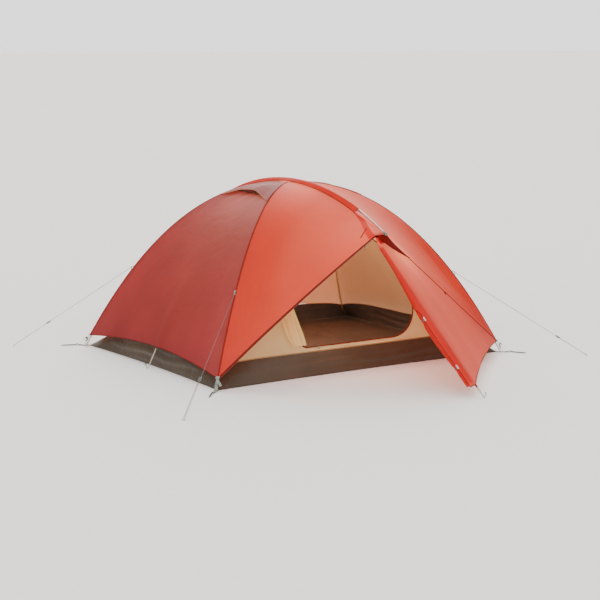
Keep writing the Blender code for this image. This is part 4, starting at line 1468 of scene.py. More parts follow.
        def surface(u: float, v: float) -> np.ndarray:
            """Point of the patch, from its middle to its rim."""
            turn = 2 * math.pi * u
            reach = self.crown_r * v
            x, y = reach * math.cos(turn), reach * math.sin(turn)
            share = max(abs(x) / FORM.foot_x, abs(y) / FORM.foot_y)
            return np.array([x, y, FORM.height(share) + 0.0016 + 0.0006 * math.cos(8 * math.pi * v)])

        cloth = Cloth("crown_patch", surface, 40, 10, FLY_RED, closed=True)
        patch = fit(cloth.build(), "tent", Slot.FLY_RED, "fly_crown")

    def _sleeve(self) -> None:
        """The sleeve that the ridge pole runs in, sewn down along both of its edges."""

        def surface(u: float, v: float) -> np.ndarray:
            """Point of the sleeve, across its arch and along the ridge."""
            y = lerp(-self.sleeve_reach, self.sleeve_reach, v)
            s, sy = abs(y) / FORM.peak_y, 1 if y >= 0 else -1
            t = 2 * u - 1
            edges = []
            for sx in (-1, 1):
                span = np.linalg.norm(FORM.leg(s * FORM.foot_share, sx, sy) - FORM.ridge(s, sy))
                lean = max(1 - self.sleeve_half / max(float(span), self.sleeve_half * 1.6), 0.0)
                edges.append(FORM.side_point(sx, sy, lean, max(s, 0.0)))
            flat = np.array([t * self.sleeve_half, y, FORM.ridge(s, sy)[2] + 0.0030])
            low = lerp(flat, lerp(edges[0], edges[1], u) + [0, 0, 0.0012],
                       smoothstep(0.08, 0.20, abs(y)))
            top = FORM.ridge_axis(y)[2] + self.sleeve_r
            hump = max(math.cos(math.pi * t / 2), 0.0) ** 1.45
            return low + np.array([0.0, 0.0, (top - low[2]) * hump])

        def relief(u: float, v: float) -> float:
            """Gathers along the stitching."""
            return 0.0012 * math.sin(150 * v) * math.sin(math.pi * u) * bell(u, 0.25, 0.25)

        cloth = Cloth("ridge_sleeve_cloth", surface, 22, 110, FLY_RED, relief)
        sleeve = fit(cloth.build(), "tent", Slot.FLY_RED, "ridge_sleeve")
        for side, u in (("left", 0.045), ("right", 0.955)):
            line = [surface(u, v) + [0, 0, 0.001] for v in np.linspace(0.002, 0.998, 90)]
            row = ribbon(f"sleeve_seam_{side}", line, [np.array([0.0, 0.0, 1.0])] * 90, 0.007,
                         TAPE_SECTION, SEAM_RED_AND_SHADE)
            fit(row, "tent", Slot.FLY_RED)
        for end, v in (("front", 0.0), ("rear", 1.0)):
            mouth_line = [surface(u, v) for u in np.linspace(0.02, 0.98, 24)]
            mouth = tube(f"sleeve_mouth_{end}", mouth_line, 0.0018, BINDING_DARK, 8)
            fit(mouth, "tent", Slot.FLY_DARK)

    def _peaks(self) -> None:
        """The patches, a strip of painted highlight and the seam marks where the fly hangs from the ridge
        pole's ends.
        """
        for end, sy in ENDS:
            def surface(u: float, v: float, sy: int = sy) -> np.ndarray:
                """Point of the patch that wraps the peak."""
                s = lerp(0.735, 0.999, v)
                lift = np.array([0.0, sy * 0.0012, 0.0016])
                if u < 0.4:
                    return FORM.side_point(-1, sy, lerp(0.965, 1.0, u / 0.4), s) + lift
                if u > 0.8:
                    return FORM.side_point(1, sy, lerp(1.0, 0.990, (u - 0.8) / 0.2), s) + lift
                return lerp(FORM.side_top(s, -1, sy), FORM.side_top(s, 1, sy), (u - 0.4) / 0.4) + lift

            cloth = Cloth(f"peak_patch_{end}", surface, 20, 40, FLY_RED)
            patch = fit(cloth.build(), "tent", Slot.FLY_RED)
            # A pale strip below the bare pole: painted highlight, the sheen of the light along the peak.
            glint = [FORM.ridge(s, sy) + np.array([-0.016 - 0.010 * (1 - s) / 0.265, sy * 0.002, 0.0045])
                     for s in np.linspace(0.745, 0.975, 20)]
            strip = ribbon(f"peak_highlight_strip_{end}", glint, [np.array([-0.2, sy * 0.5, 0.8])] * 20, 0.030,
                           TAPE_SECTION, FLY_PAINTED_HIGHLIGHT)
            fit(strip, "tent", Slot.FLY_RED)
            self._peak_flap(end, sy)
            line = [FORM.side_point(-1, sy, lerp(0.988, 0.930, t), lerp(0.912, 0.945, t))
                    + np.array([0.0, sy * 0.0012, 0.0012]) for t in np.linspace(0, 1, 24)]
            seam = ribbon(f"peak_seam_{end}", line, [np.array([-0.3, sy * 0.7, 0.6])] * 24, 0.007,
                          TAPE_SECTION, SEAM_RED_AND_SHADE)
            fit(seam, "tent", Slot.FLY_RED)

    def _peak_flap(self, end: str, sy: int) -> None:
        """The gusset that closes the fly under the ridge pole's end, in dark crimson: painted shade for the
        shadow below the pole's end.

        Args:
            end: The end's name.
            sy: The side along Y, -1 or 1.
        """

        def surface(u: float, v: float) -> np.ndarray:
            """Point of the gusset, from the panels down to the vestibule."""
            upper = lerp(FORM.side_top(0.985, -1, sy), FORM.side_top(0.985, 1, sy), u)
            lower = FORM.vestibule_point(1, sy, u * 0.985, 0.055) + [0.0, 0.0, -0.004]
            sink = [0.0, -sy * 0.004, -0.004 * math.sin(math.pi * v)]
            return lerp(upper, lower, v) + sink

        cloth = Cloth(f"peak_gusset_{end}", surface, 16, 10, FLY_PAINTED_SHADE, None, (0.0, 0.0, 0.2))
        flap = fit(cloth.build(), "tent", Slot.FLY_DARK)


@dataclass
class Vents:
    """The two hooded vents under the crown: hood, netting and prop."""

    scoop: float = 0.070
    wave: float = 0.030
    lift: float = 0.030
    side_lift: float = 0.002

    def lip(self, w: float) -> float:
        """The hood's reach from the crown, scooped between the poles."""
        return (FORM.hood_lip - self.scoop * (1 - w * w) ** 1.4
                - self.wave * bell(w, 0.62, 0.22) * (1 - w * w))

    def build(self) -> None:
        """Makes both vents."""
        for side, sx in SIDES:
            self._hood(side, sx)
            self._netting(side, sx)

    def _hood(self, side: str, sx: int) -> None:
        """The hood, stiffened along its lip and propped up in the middle.

        Args:
            side: The side's name.
            sx: The side along X, -1 or 1.
        """

        def surface(u: float, v: float) -> np.ndarray:
            """Point of the hood, from its seam to its lip."""
            w = 2 * u - 1
            s = lerp(FORM.hood_top, self.lip(w), v) / FORM.foot_x
            rise = smoothstep(0.0, 1.0, v)
            spread = (1 - w * w) ** 1.3
            lift = 0.002 + rise * lerp(self.side_lift, self.lift, spread)
            return FORM.end_point(sx, s, w) + np.array([sx * 0.25 * lift, 0.0, lift])

        def relief(u: float, v: float) -> float:
            """Ripples that grow toward the lip."""
            return 0.003 * math.sin(14 * u + 2) * v * v + 0.002 * math.sin(31 * u) * v**4

        body = f"hood_{side}"
        cloth = Cloth(f"vent_hood_cloth_{side}", surface, 56, 20, FLY_WINE, relief)
        hood = fit(cloth.build(), body, Slot.FLY_DARK, f"vent_hood_{side}")
        # The lip's pale piping is a painted highlight along the lip.
        line = [surface(u, 1.0) for u in np.linspace(0.01, 0.99, 60)]
        piping = fit(tube(f"hood_piping_{side}", line, 0.0026, PIPING_PAINTED_HIGHLIGHT, 8), body, Slot.FLY_DARK)
        foot = FORM.end_point(sx, (FORM.vent_edge - 0.008) / FORM.foot_x, 0.02) + [0, 0, 0.003]
        head = surface(0.52, 0.94) - [0, 0, 0.003]
        outs = [np.array([0.0, 1.0, 0.0])] * 8
        strut = [foot, lerp(foot, head, 0.5) + [sx * 0.004, 0, 0], head]
        # The prop is dark crimson, painted shade, so that it sits dark in the shadow under the hood.
        prop = ribbon(f"hood_prop_{side}", spaced(strut, 8), outs, 0.003, strap_section(0.008),
                      FLY_PAINTED_SHADE)
        fit(prop, body, Slot.PLASTIC)

    def _netting(self, side: str, sx: int) -> None:
        """The netting that closes the vent, from the panel's edge up to the crown.

        Args:
            side: The side's name.
            sx: The side along X, -1 or 1.
        """

        def surface(u: float, v: float) -> np.ndarray:
            """Point of the netting, from the crown down to the vent's edge."""
            w = (2 * u - 1) * 0.97
            s = lerp(0.075, FORM.vent_edge / FORM.foot_x, v)
            return FORM.end_point(sx, s, w) - np.array([0.0, 0.0, 0.004 + 0.010 * (1 - w * w)])

        cloth = Cloth(f"vent_netting_{side}", surface, 30, 16, NETTING_BLACK)
        net = fit(cloth.build(), "tent", Slot.FLY_DARK)


@dataclass
class Vestibules:
    """The front vestibule with its door rolled back, and the closed rear one."""

    top: float = 0.012
    low: float = 0.995
    seam: float = 0.996
    roll_d: float = 0.070
    roll_top: float = 0.35
    roll_start: float = 0.075
    roll_stop: float = 0.978
    turns: float = 4.0

    def hem(self, u: float) -> float:
        """Share of the way down at which the hem lies."""
        return self.low - FORM.vest_bow * 4 * u * (1 - u)

    def build(self) -> None:
        """Makes both vestibules."""
        self._front_panel()
        self._roll()
        self._rear_panel()

    def axes(self) -> Tuple[np.ndarray, np.ndarray]:
        """The ways inward from the front panel, and aside across it toward its seam."""
        start = FORM.vestibule_point(1, -1, 0.0, self.roll_start)
        along = unit(FORM.vestibule_point(1, -1, 0.0, self.roll_stop) - start)
        inward = unit(np.cross(FORM.vestibule_point(1, -1, 1.0, 1.0) - start, along))
        return inward, np.cross(along, inward)

    def roll_at(self, v: float) -> Tuple[np.ndarray, float]:
        """The rolled door's centre and radius at v of the way down the panel's front edge.

        Args:
            v: Share from peak to hem.

        Returns:
            The centre and the radius.
        """
        inward, aside = self.axes()
        t = min(max((v - self.roll_start) / (self.roll_stop - self.roll_start), 0.0), 1.0)
        radius = lerp(self.roll_top, 1.0, smoothstep(0, 0.7, t)) * self.roll_d / 2
        radius *= min(v / self.roll_start, 1.0) * (1 - 0.26 * smoothstep(0.6, 1.0, t))
        tuck = lerp(1.0, -0.10, smoothstep(0.1, 0.6, t))
        edge = FORM.vestibule_point(1, -1, 0.0, v)
        return edge + inward * (radius + 0.003) + aside * radius * tuck, radius

    def _front_panel(self) -> None:
        """The fixed half of the front vestibule, whose front edge turns round the rolled door."""
        inward, aside = self.axes()
        share = 0.12               # of the panel's width, which lies round the roll

        def surface(u: float, v: float) -> np.ndarray:
            """Point of the panel, whose front edge turns round the roll."""
            far = lerp(share, 1.0, max((u - share) / (1 - share), 0.0))
            down = lerp(self.top, self.hem(max(far - share, 0.0) / (1 - share) * self.seam), v)
            centre, radius = self.roll_at(down)
            if u < share:
                turn = (1 - u / share) * lerp(3.2, 1.55, smoothstep(0.42, 0.52, v))
                return centre - (inward * math.cos(turn) + aside * math.sin(turn)) * (radius + 0.002)
            first = centre - inward * (radius + 0.002)
            last = FORM.vestibule_point(1, -1, self.seam, down)
            return lerp(first, last, (far - share) / (1 - share))

        def relief(u: float, v: float) -> float:
            """The pull below the peak, a billow and slanting folds."""
            pleat = -0.024 * bell(u, 0.78, 0.20) * bell(v, 0.08, 0.11)
            billow = 0.010 * math.sin(math.pi * u) * math.sin(math.pi * v)
            folds = 0.0035 * math.sin(2 * math.pi * (u * 3.2 + v)) * math.sin(math.pi * u) * v
            return (pleat + billow + folds) * smoothstep(share, share + 0.15, u)

        cloth = Cloth("vestibule_cloth_front", surface, 96, 80, FLY_RED, relief, (0.0, 0.0, 0.2))
        panel = fit(cloth.build(), "front_door", Slot.FLY_RED, "vestibule_front_panel")
        edge_line = [surface(0.0, v) for v in np.linspace(0.02, 1.0, 80)]
        edge = tube("vestibule_zip_edge", edge_line, 0.0016, BINDING_DARK, 8)
        fit(edge, "front_door", Slot.FLY_DARK)
        hem_line = [surface(u, 1.0) for u in np.linspace(0.0, 1.0, 70)]
        hem = tube("vestibule_hem_front", hem_line, 0.0026, BINDING_DARK, 8)
        fit(hem, "front_door", Slot.FLY_DARK)
        self._pleat()

    def _pleat(self) -> None:
        """The deep fold beside the peak: a sheet in dark crimson, painted shade for the shadow in the fold.
        """

        def surface(u: float, v: float) -> np.ndarray:
            """Point of the fold, which narrows to nothing below."""
            down = lerp(0.006, 0.205, v)
            width = 0.97 * (1 - v) ** 1.15
            across = lerp(0.985 - width, 0.985, u)
            point = FORM.vestibule_point(1, -1, across, down)
            out = unit([0.35, -0.75, 0.55])
            return point + out * (0.003 + 0.006 * math.sin(math.pi * u) ** 0.6 + 0.012 * (1 - v) ** 4)

        cloth = Cloth("door_pleat", surface, 16, 30, FLY_PAINTED_SHADE, None, (0.0, 0.0, 0.2))
        pleat = fit(cloth.build(), "front_door", Slot.FLY_DARK)

    def _roll(self) -> None:
        """The door, rolled up and held by two toggles."""
        count = 90
        inward, aside = self.axes()
        stops = np.linspace(self.roll_start, self.roll_stop, count)
        points, radii = (list(column) for column in zip(*(self.roll_at(v) for v in stops)))
        ties = (0.53, 0.88)

        def surface(u: float, v: float) -> np.ndarray:
            """Point of the wound cloth, pinched where it is tied."""
            centre, radius = self.roll_at(lerp(self.roll_start, self.roll_stop, v))
            pinch = 1 - 0.20 * sum(bell(v, tie, 0.022) for tie in ties)
            turn = 2 * math.pi * self.turns * u
            ragged = 1 + 0.04 * math.sin(5 * turn / 2 + 9 * v) * (0.4 + 0.6 * u)
            reach = radius * lerp(0.30, 0.97, u) * pinch * ragged
            return centre + (inward * math.cos(turn + 0.6) + aside * math.sin(turn + 0.6)) * reach

        cloth = Cloth("rolled_door_cloth", surface, 110, 60, FLY_RED, None, tuple(points[45]))
        roll = fit(cloth.build(), "front_door", Slot.FLY_RED, "rolled_door")
        for name, tie in zip(("upper", "lower"), ties):
            index = int(tie * (count - 1))
            radius = radii[index] * 0.84
            along = unit(points[index + 1] - points[index])
            ring = [points[index] + (inward * math.cos(a) + aside * math.sin(a)) * radius
                    for a in np.linspace(0, 2 * math.pi, 33)]
            loop = tube(f"door_loop_{name}", ring, 0.0022, ELASTIC_GREY, 8)
            fit(loop, "front_door", Slot.TIE)
            spot = points[index] - inward * (radius + 0.004) * 0.2 - aside * (radius + 0.006)
            stops = spaced([spot - along * 0.016, spot + along * 0.016], 9)
            girth = [0.0028, 0.0046, 0.0052, 0.0042, 0.0034, 0.0042, 0.0052, 0.0046, 0.0028]
            toggle = tube(f"door_toggle_{name}", stops, girth, PLASTIC_PALE, 12)
            fit(toggle, "front_door", Slot.PLASTIC)

    def _rear_panel(self) -> None:
        """The closed rear vestibule, with its zip down the middle."""

        def surface(u: float, v: float) -> np.ndarray:
            """Point of both halves, from the zip out to the seams."""
            w = 2 * u - 1
            across = abs(w) * self.seam
            low = lerp(self.top, self.hem(across), v)
            return FORM.vestibule_point(1 if w > 0 else -1, 1, across, low)

        def relief(u: float, v: float) -> float:
            """A billow and slanting folds in each half."""
            side = abs(2 * u - 1)
            return (0.010 * math.sin(math.pi * side) * math.sin(math.pi * v)
                    + 0.003 * math.sin(2 * math.pi * (side * 3 + v)) * v * math.sin(math.pi * side))

        cloth = Cloth("vestibule_cloth_rear", surface, 90, 70, FLY_RED, relief, (0.0, 0.0, 0.2))
        panel = fit(cloth.build(), "tent", Slot.FLY_RED, "vestibule_rear_panel")
        line = [FORM.vestibule_point(1, 1, 0.0, v) + [0.0, 0.002, 0.002]
                for v in np.linspace(self.top, self.low, 60)]
        outs = [unit([0.0, 0.75, 0.65])] * 60
        flap = ribbon("vestibule_rear_flap", line, outs, 0.045, TAPE_SECTION, FLY_RED)
        fit(flap, "tent", Slot.FLY_RED)
        coil = tube("vestibule_rear_zip", [p + [0.024, 0.0, 0.001] for p in line], 0.0018, ZIP_COIL, 8)
        fit(coil, "tent", Slot.FLY_DARK)
        hem_line = []
        for w in np.linspace(-1, 1, 80):
            across = abs(w) * self.seam
            hem_line.append(FORM.vestibule_point(1 if w > 0 else -1, 1, across, self.hem(across)))
        hem = fit(tube("vestibule_hem_rear", hem_line, 0.0026, BINDING_DARK, 8), "tent", Slot.FLY_DARK)


# ---- inner tent -----------------------------------------------------------------------------


@dataclass
class InnerTent:
    """The tan sleeping cabin, its brown bathtub floor and its gathered D-shaped door."""

    top: float = 0.045
    rim_gap: float = 0.004
    door_left: float = -0.495
    door_right: float = 0.550
    sill: float = 0.187
    spring: float = 0.440
    corner_r: float = 0.250
    left_r: float = 0.030
    lean: float = 0.045        # the left edge leans in by this at the sill
    door_top: float = 0.965
    clips: Tuple[float, ...] = (0.30, 0.46, 0.62, 0.76, 0.88)
    clip: Tuple[float, float, float, float] = (0.022, 0.016, 0.006, 0.003)
    tab_width: float = 0.012
    tab_thickness: float = 0.0015

    def build(self) -> None:
        """Makes the cabin."""
        self._floor()
        self._walls()
        self._front_wall()
        self._gathered_door()
        self._clips()

    def _floor(self) -> None:
        """The groundsheet and its raised sides, which drop to the ground at the corners."""
        sides = ("front", "right", "rear", "left")

        def surface(u: float, v: float) -> np.ndarray:
            """Point of the groundsheet, out from the middle and then up a side."""
            place = (u * 4) % 4
            side = sides[int(place)]
            w = math.sin((place % 1 - 0.5) * math.pi)
            x, y = FORM.floor_edge(w, side)
            if v <= 0.5:
                reach = v / 0.5
                return np.array([x * reach, y * reach, 0.0012])
            rise = (v - 0.5) / 0.5
            low, high = np.array([x, y, 0.0012]), FORM.rim_point(w, side)
            belly = 0.010 * math.sin(math.pi * rise) * (1 - abs(w) ** 6)
            out = np.array([x, y, 0.0]) / math.hypot(x, y)
            pleat = 0.0035 * math.sin(rise * 17 + 1.3 * math.sin(9 * w)) * (1 - w * w) * rise * (1 - rise) * 4
            return lerp(low, high, rise) + out * (belly + pleat)

        def relief(u: float, v: float) -> float:
            """Shallow waves where the cloth lies on the ground."""
            if v > 0.5:
                return 0.0
            return 0.0012 * math.sin(37 * u) * math.sin(21 * v) * math.sin(2 * math.pi * v)

        cloth = Cloth("bathtub_floor", surface, 192, 44, FLOOR_BROWN, relief, (0.0, 0.0, 0.5), True)
        floor = fit(cloth.build(), "tent", Slot.FLOOR_BROWN, "inner_floor")
        ring = []
        for side in sides:
            ring += [FORM.rim_point(math.sin((k / 32 - 0.5) * math.pi), side) for k in range(32)]

        def inside(u: float, v: float) -> np.ndarray:
            """Point just inside the groundsheet."""
            point = surface(u, v)
            reach = 1 - 0.0035 * smoothstep(0.45, 0.55, v)
            return point * np.array([reach, reach, 1.0]) + [0.0, 0.0, 0.0022 * (1 - v)]

        # The lining is paler partly as painted light, for the daylight that comes into the cabin.
        lining = Cloth("bathtub_lining", inside, 192, 44, FLOOR_LINING_PAINTED_LIGHT, relief, (0.0, 0.0, 0.5), True)
        face = fit(lining.build(), "tent", Slot.FLOOR_BROWN)
        lining.flat = (2 * (FORM.foot_x + FORM.rim), 2 * (FORM.foot_y + FORM.rim))
        rim = tube("bathtub_rim", ring + [ring[0]], 0.0028, SEAM_TAN, 8)
        fit(rim, "tent", Slot.FLOOR_BROWN)
        cloth.flat = (2 * (FORM.foot_x + FORM.rim), 2 * (FORM.foot_y + FORM.rim))

    def _wall_shares(self, w: float, v: float) -> float:
        """The arch's share at v of the way from the wall's top to its foot."""
        low = FORM.share_at(FORM.rim_height(w) + self.rim_gap, FORM.inner_apex)
        return lerp(self.top, low, v)

    def _walls(self) -> None:
        """The two end walls and the rear wall, with their seams."""
        makers = {
            "left": lambda s, w: FORM.inner_end_point(-1, s, w),
            "right": lambda s, w: FORM.inner_end_point(1, s, w),
            "rear": lambda s, w: FORM.inner_side_point(1, s, w),
        }
        for side, maker in makers.items():

            def surface(u: float, v: float, maker: Callable = maker) -> np.ndarray:
                """Point of the wall, from its top to its foot."""
                w = (2 * u - 1) * 0.999
                return maker(self._wall_shares(w, v), w)

            def relief(u: float, v: float) -> float:
                """A slow hang, and drapes toward the foot."""
                hang = 0.006 * math.sin(7 * u + 4 * v) * math.sin(math.pi * u) * math.sin(math.pi * v)
                drape = 0.004 * math.sin(38 * u + 3 * v) * smoothstep(0.5, 1.0, v) * math.sin(math.pi * u)
                return hang + drape

            cloth = Cloth(f"inner_cloth_{side}", surface, 72, 44, INNER_TAN, relief)
            wall = fit(cloth.build(), "tent", Slot.INNER_TAN, f"inner_wall_{side}")
        for corner in Corner:
            shares = np.linspace(0.05, 0.985, 60)
            line = [FORM.inner_leg(s, corner.sx, corner.sy) for s in shares]
            outs = [unit([corner.sx * 0.5, corner.sy * 0.6, 0.6])] * 60
            seam = ribbon(f"inner_seam_{corner.label}", line, outs, 0.014, SEAM_SECTION, SEAM_TAN)
            fit(seam, "tent", Slot.INNER_TAN)

    def door_outline(self, count: int) -> List[Tuple[float, float]]:
        """The door's opening as (x, z), from the middle of its sill anticlockwise.

        Args:
            count: How many evenly spaced points to give.

        Returns:
            The outline's points.
        """
        right_x, z = self.door_right - self.corner_r, self.sill + self.corner_r
        foot = self.door_left + self.lean
        outline = [(0.05, self.sill), (right_x, self.sill)]
        for k in range(1, 13):
            turn = math.radians(lerp(-90, 0, k / 12))
            outline.append((right_x + self.corner_r * math.cos(turn), z + self.corner_r * math.sin(turn)))
        middle, half = (self.door_left + self.door_right) / 2, (self.door_right - self.door_left) / 2
        for k in range(1, 33):
            turn = math.radians(lerp(0, 180, k / 32))
            outline.append((middle + half * math.cos(turn),
                            self.spring + (self.door_top - self.spring) * math.sin(turn)))
        outline += [(lerp(self.door_left, foot, 0.86), self.sill + self.left_r),
                    (foot + self.left_r * 0.3, self.sill + self.left_r * 0.3),
                    (foot + self.left_r, self.sill), (0.05, self.sill)]
        points = spaced([np.array([x, 0.0, z]) for x, z in outline], count)
        return [(float(p[0]), float(p[2])) for p in points]

    def front_point(self, x: float, z: float) -> np.ndarray:
        """The point of the front wall at x and height z."""
        share = FORM.share_at(z, FORM.inner_apex)
        return FORM.inner_side_point(-1, share, x / (share * FORM.inner_x))

    def _inside(self, x: float, z: float) -> bool:
        """Whether the front wall has cloth, or its door, at x and height z.

        Args:
            x: How far right of the middle.
            z: The height.

        Returns:
            Whether it has.
        """
        top = FORM.height(self.top, FORM.inner_apex)
        if not self.rim_gap < z < top:
            return False
        half = FORM.share_at(z, FORM.inner_apex) * FORM.inner_x
        w = x / half
        return abs(w) < 0.999 and z > FORM.rim_height(w) + self.rim_gap

    def _front_wall(self) -> None:
        """The front wall, which runs from the door's bound edge out to the poles and the floor."""
        count = 240
        outline = self.door_outline(count + 1)
        centre = (0.03, 0.46)
        outer = []
        for x, z in outline:
            way = (x - centre[0], z - centre[1])
            low, high = 1.0, 6.0
            for _ in range(28):
                middle = (low + high) / 2
                if self._inside(centre[0] + way[0] * middle, centre[1] + way[1] * middle):
                    low = middle
                else:
                    high = middle
            outer.append((centre[0] + way[0] * low, centre[1] + way[1] * low))

        def surface(u: float, v: float) -> np.ndarray:
            """Point from the door's edge out to the wall's."""
            index = min(int(round(u * count)), count)
            x = lerp(outline[index][0], outer[index][0], v)
            z = lerp(outline[index][1], outer[index][1], v)
            return self.front_point(x, z)

        def relief(u: float, v: float) -> float:
            """Ripples round the opening."""
            return 0.004 * math.sin(14 * math.pi * u) * math.sin(math.pi * v)

        cloth = Cloth("inner_cloth_front", surface, count, 16, INNER_TAN, relief, (0.0, 0.0, 0.3), True)
        wall = fit(cloth.build(), "tent", Slot.INNER_TAN, "inner_wall_front")

        def whole(u: float, v: float) -> np.ndarray:
            """Point of the wall before the door is cut out of it."""
            w = 2 * u - 1
            return FORM.inner_side_point(-1, self._wall_shares(w, v), w)

        # The wall is cut as one panel, and the door's opening is cut out of it.
        width = length_of([whole(u, 1.0) for u in np.linspace(0, 1, 25)])
        cloth.flat = (width, length_of([whole(0.5, v) for v in np.linspace(0, 1, 13)]))
        bound = [self.front_point(x, z) for x, z in outline[:-1]]
        binding = tube("inner_door_binding", bound + [bound[0]], 0.0042, BINDING_DARK, 8)
        fit(binding, "tent", Slot.FLY_DARK)

    def _gathered_door(self) -> None:
        """The open door, bunched up in deep folds beside its opening."""

        def surface(u: float, v: float) -> np.ndarray:
            """Point of the gathered door, across its folds and up."""
            z = lerp(0.20, 0.80, v)
            share = FORM.share_at(z, FORM.inner_apex)
            narrow = 1 - 0.55 * smoothstep(0.35, 0.65, v) + 0.12 * math.sin(9 * v)
            lean = self.lean * max(1 - (z - self.sill) / 0.25, 0.0)
            right = self.door_left + lean + 0.008
            x = right - u * 0.105 * narrow
            base = FORM.inner_side_point(-1, share, x / (share * FORM.inner_x))
            folds = 0.012 * math.sin(2 * math.pi * (u * 3.2 + 0.25 * math.sin(6 * v)))
            depth = 0.022 + folds + 0.016 * math.sin(math.pi * u)
            return base + np.array([0.0, -depth, depth * 0.35])

        cloth = Cloth("inner_door_cloth", surface, 60, 60, INNER_TAN, None, (-0.55, 0.2, 0.3))
        door = fit(cloth.build(), "tent", Slot.INNER_TAN, "inner_door")
        line = [surface(0.02, v) + [0.004, -0.002, 0.0] for v in np.linspace(0.0, 1.0, 40)]
        tape = ribbon("inner_door_tape", line, [np.array([0.1, -1.0, 0.3])] * 40, 0.020,
                      TAPE_SECTION, TAPE_OLIVE)
        fit(tape, "tent", Slot.INNER_TAN)

    def _clips(self) -> None:
        """The plastic clips and their tabs that hang the cabin from the long poles."""
        for corner in Corner:
            sx, sy, label = corner.sx, corner.sy, corner.label
            bm = bmesh.new()
            for share in self.clips:
                hold = FORM.pole_axis(share, sx, sy)
                seam = FORM.inner_leg(share, sx, sy)
                way = unit(seam - hold)
                run = unit(FORM.pole_axis(share + 0.02, sx, sy) - hold)
                place = placement(hold + way * 0.012, way, run)
                for middle, size in ladder(*self.clip, 3):
                    add_bar(bm, middle, size, place)
                reach = max(float(np.linalg.norm(seam - hold)) - 0.02, 0.01)
                tab = placement(lerp(hold, seam, 0.5) + way * 0.008, way, run)
                add_bar(bm, (0.0, 0.0, 0.0), (reach, self.tab_width, self.tab_thickness), tab)
            fit(new_piece(f"pole_clips_{label}", bm, PLASTIC_GREY), "tent", Slot.PLASTIC)


# ---- poles and hardware ---------------------------------------------------------------------


@dataclass
class Poles:
    """The anodised poles, their ferrules and end fittings."""

    ferrule_r: float = 0.0057
    ferrule_l: float = 0.050
    ridge_tip: float = 0.012
    end_d: float = 0.019
    end_l: float = 0.036

    def build(self) -> None:
        """Dresses the pole sections and adds what joins and ends them."""
        for name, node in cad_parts.items():
            if name.startswith(("main_pole", "ridge_pole")):
                dress(node, POLE_SILVER)
        for name, sx, sy in (("a", -1, -1), ("b", -1, 1)):
            for index, t in enumerate((-0.36, 0.36)):
                line = [FORM.pole_axis(t + d, sx, sy) for d in np.linspace(-0.016, 0.016, 7)]
                ferrule = tube(f"pole_ferrule_{name}_{index + 1}", line, self.ferrule_r, POLE_SILVER, 14)
                fit(ferrule, "tent", Slot.POLE)
        end = FORM.peak_y - self.ridge_tip
        for index, y in enumerate((-end / 3, end / 3)):
            line = [FORM.ridge_axis(y + d) for d in np.linspace(-self.ferrule_l / 2, self.ferrule_l / 2, 5)]
            fit(tube(f"ridge_ferrule_{index + 1}", line, self.ferrule_r, POLE_SILVER, 14), "tent", Slot.POLE)
        for name, sy in ENDS:
            self._ridge_end(name, sy, end)

    def _ridge_end(self, name: str, sy: int, end: float) -> None:
        """The moulded cup and the webbing that holds the fly's peak to the ridge pole's end.

        Args:
            name: The end's name.
            sy: The side along Y, -1 or 1.
            end: How far out the pole ends.
        """
        first = FORM.ridge_axis(sy * end)
        along = unit(first - FORM.ridge_axis(sy * (end - 0.02)))
        profile = ((0.0, 0.55), (0.05, 0.66), (0.28, 0.66), (0.36, 0.98), (0.44, 1.0), (0.50, 0.92),
                   (0.56, 1.0), (0.80, 1.0), (0.92, 0.86), (1.0, 0.55))
        line = [first + along * self.end_l * share for share, _ in profile]
        radii = [self.end_d / 2 * share for _, share in profile]
        fit(tube(f"ridge_cup_{name}", line, radii, PLASTIC_GREY, 20), "tent", Slot.PLASTIC,
            f"ridge_end_{name}")
        root = FORM.ridge(1.0, sy)
        over = first + along * self.end_l * 0.62
        loop = [root + [0, -sy * 0.035, -0.004], root + [0, sy * 0.004, -0.003],
                over + [0, 0, -self.end_d * 0.56], over + along * 0.022,
                over + [0, 0, self.end_d * 0.56], over + [0, -sy * 0.022, self.end_d * 0.50]]
        strap = ribbon(f"ridge_strap_{name}", spaced(loop, 26), [np.array([0.0, sy * 0.02, 1.0])] * 26,
                       0.016, strap_section(0.0018), WEBBING_GREY)
        fit(strap, "tent", Slot.WEBBING)


def dress(node: bpy.types.Object, finish: Finish) -> None:
    """Gives a CAD node its finish."""
    node.data.materials.clear()
    node.data.materials.append(material_of(finish))


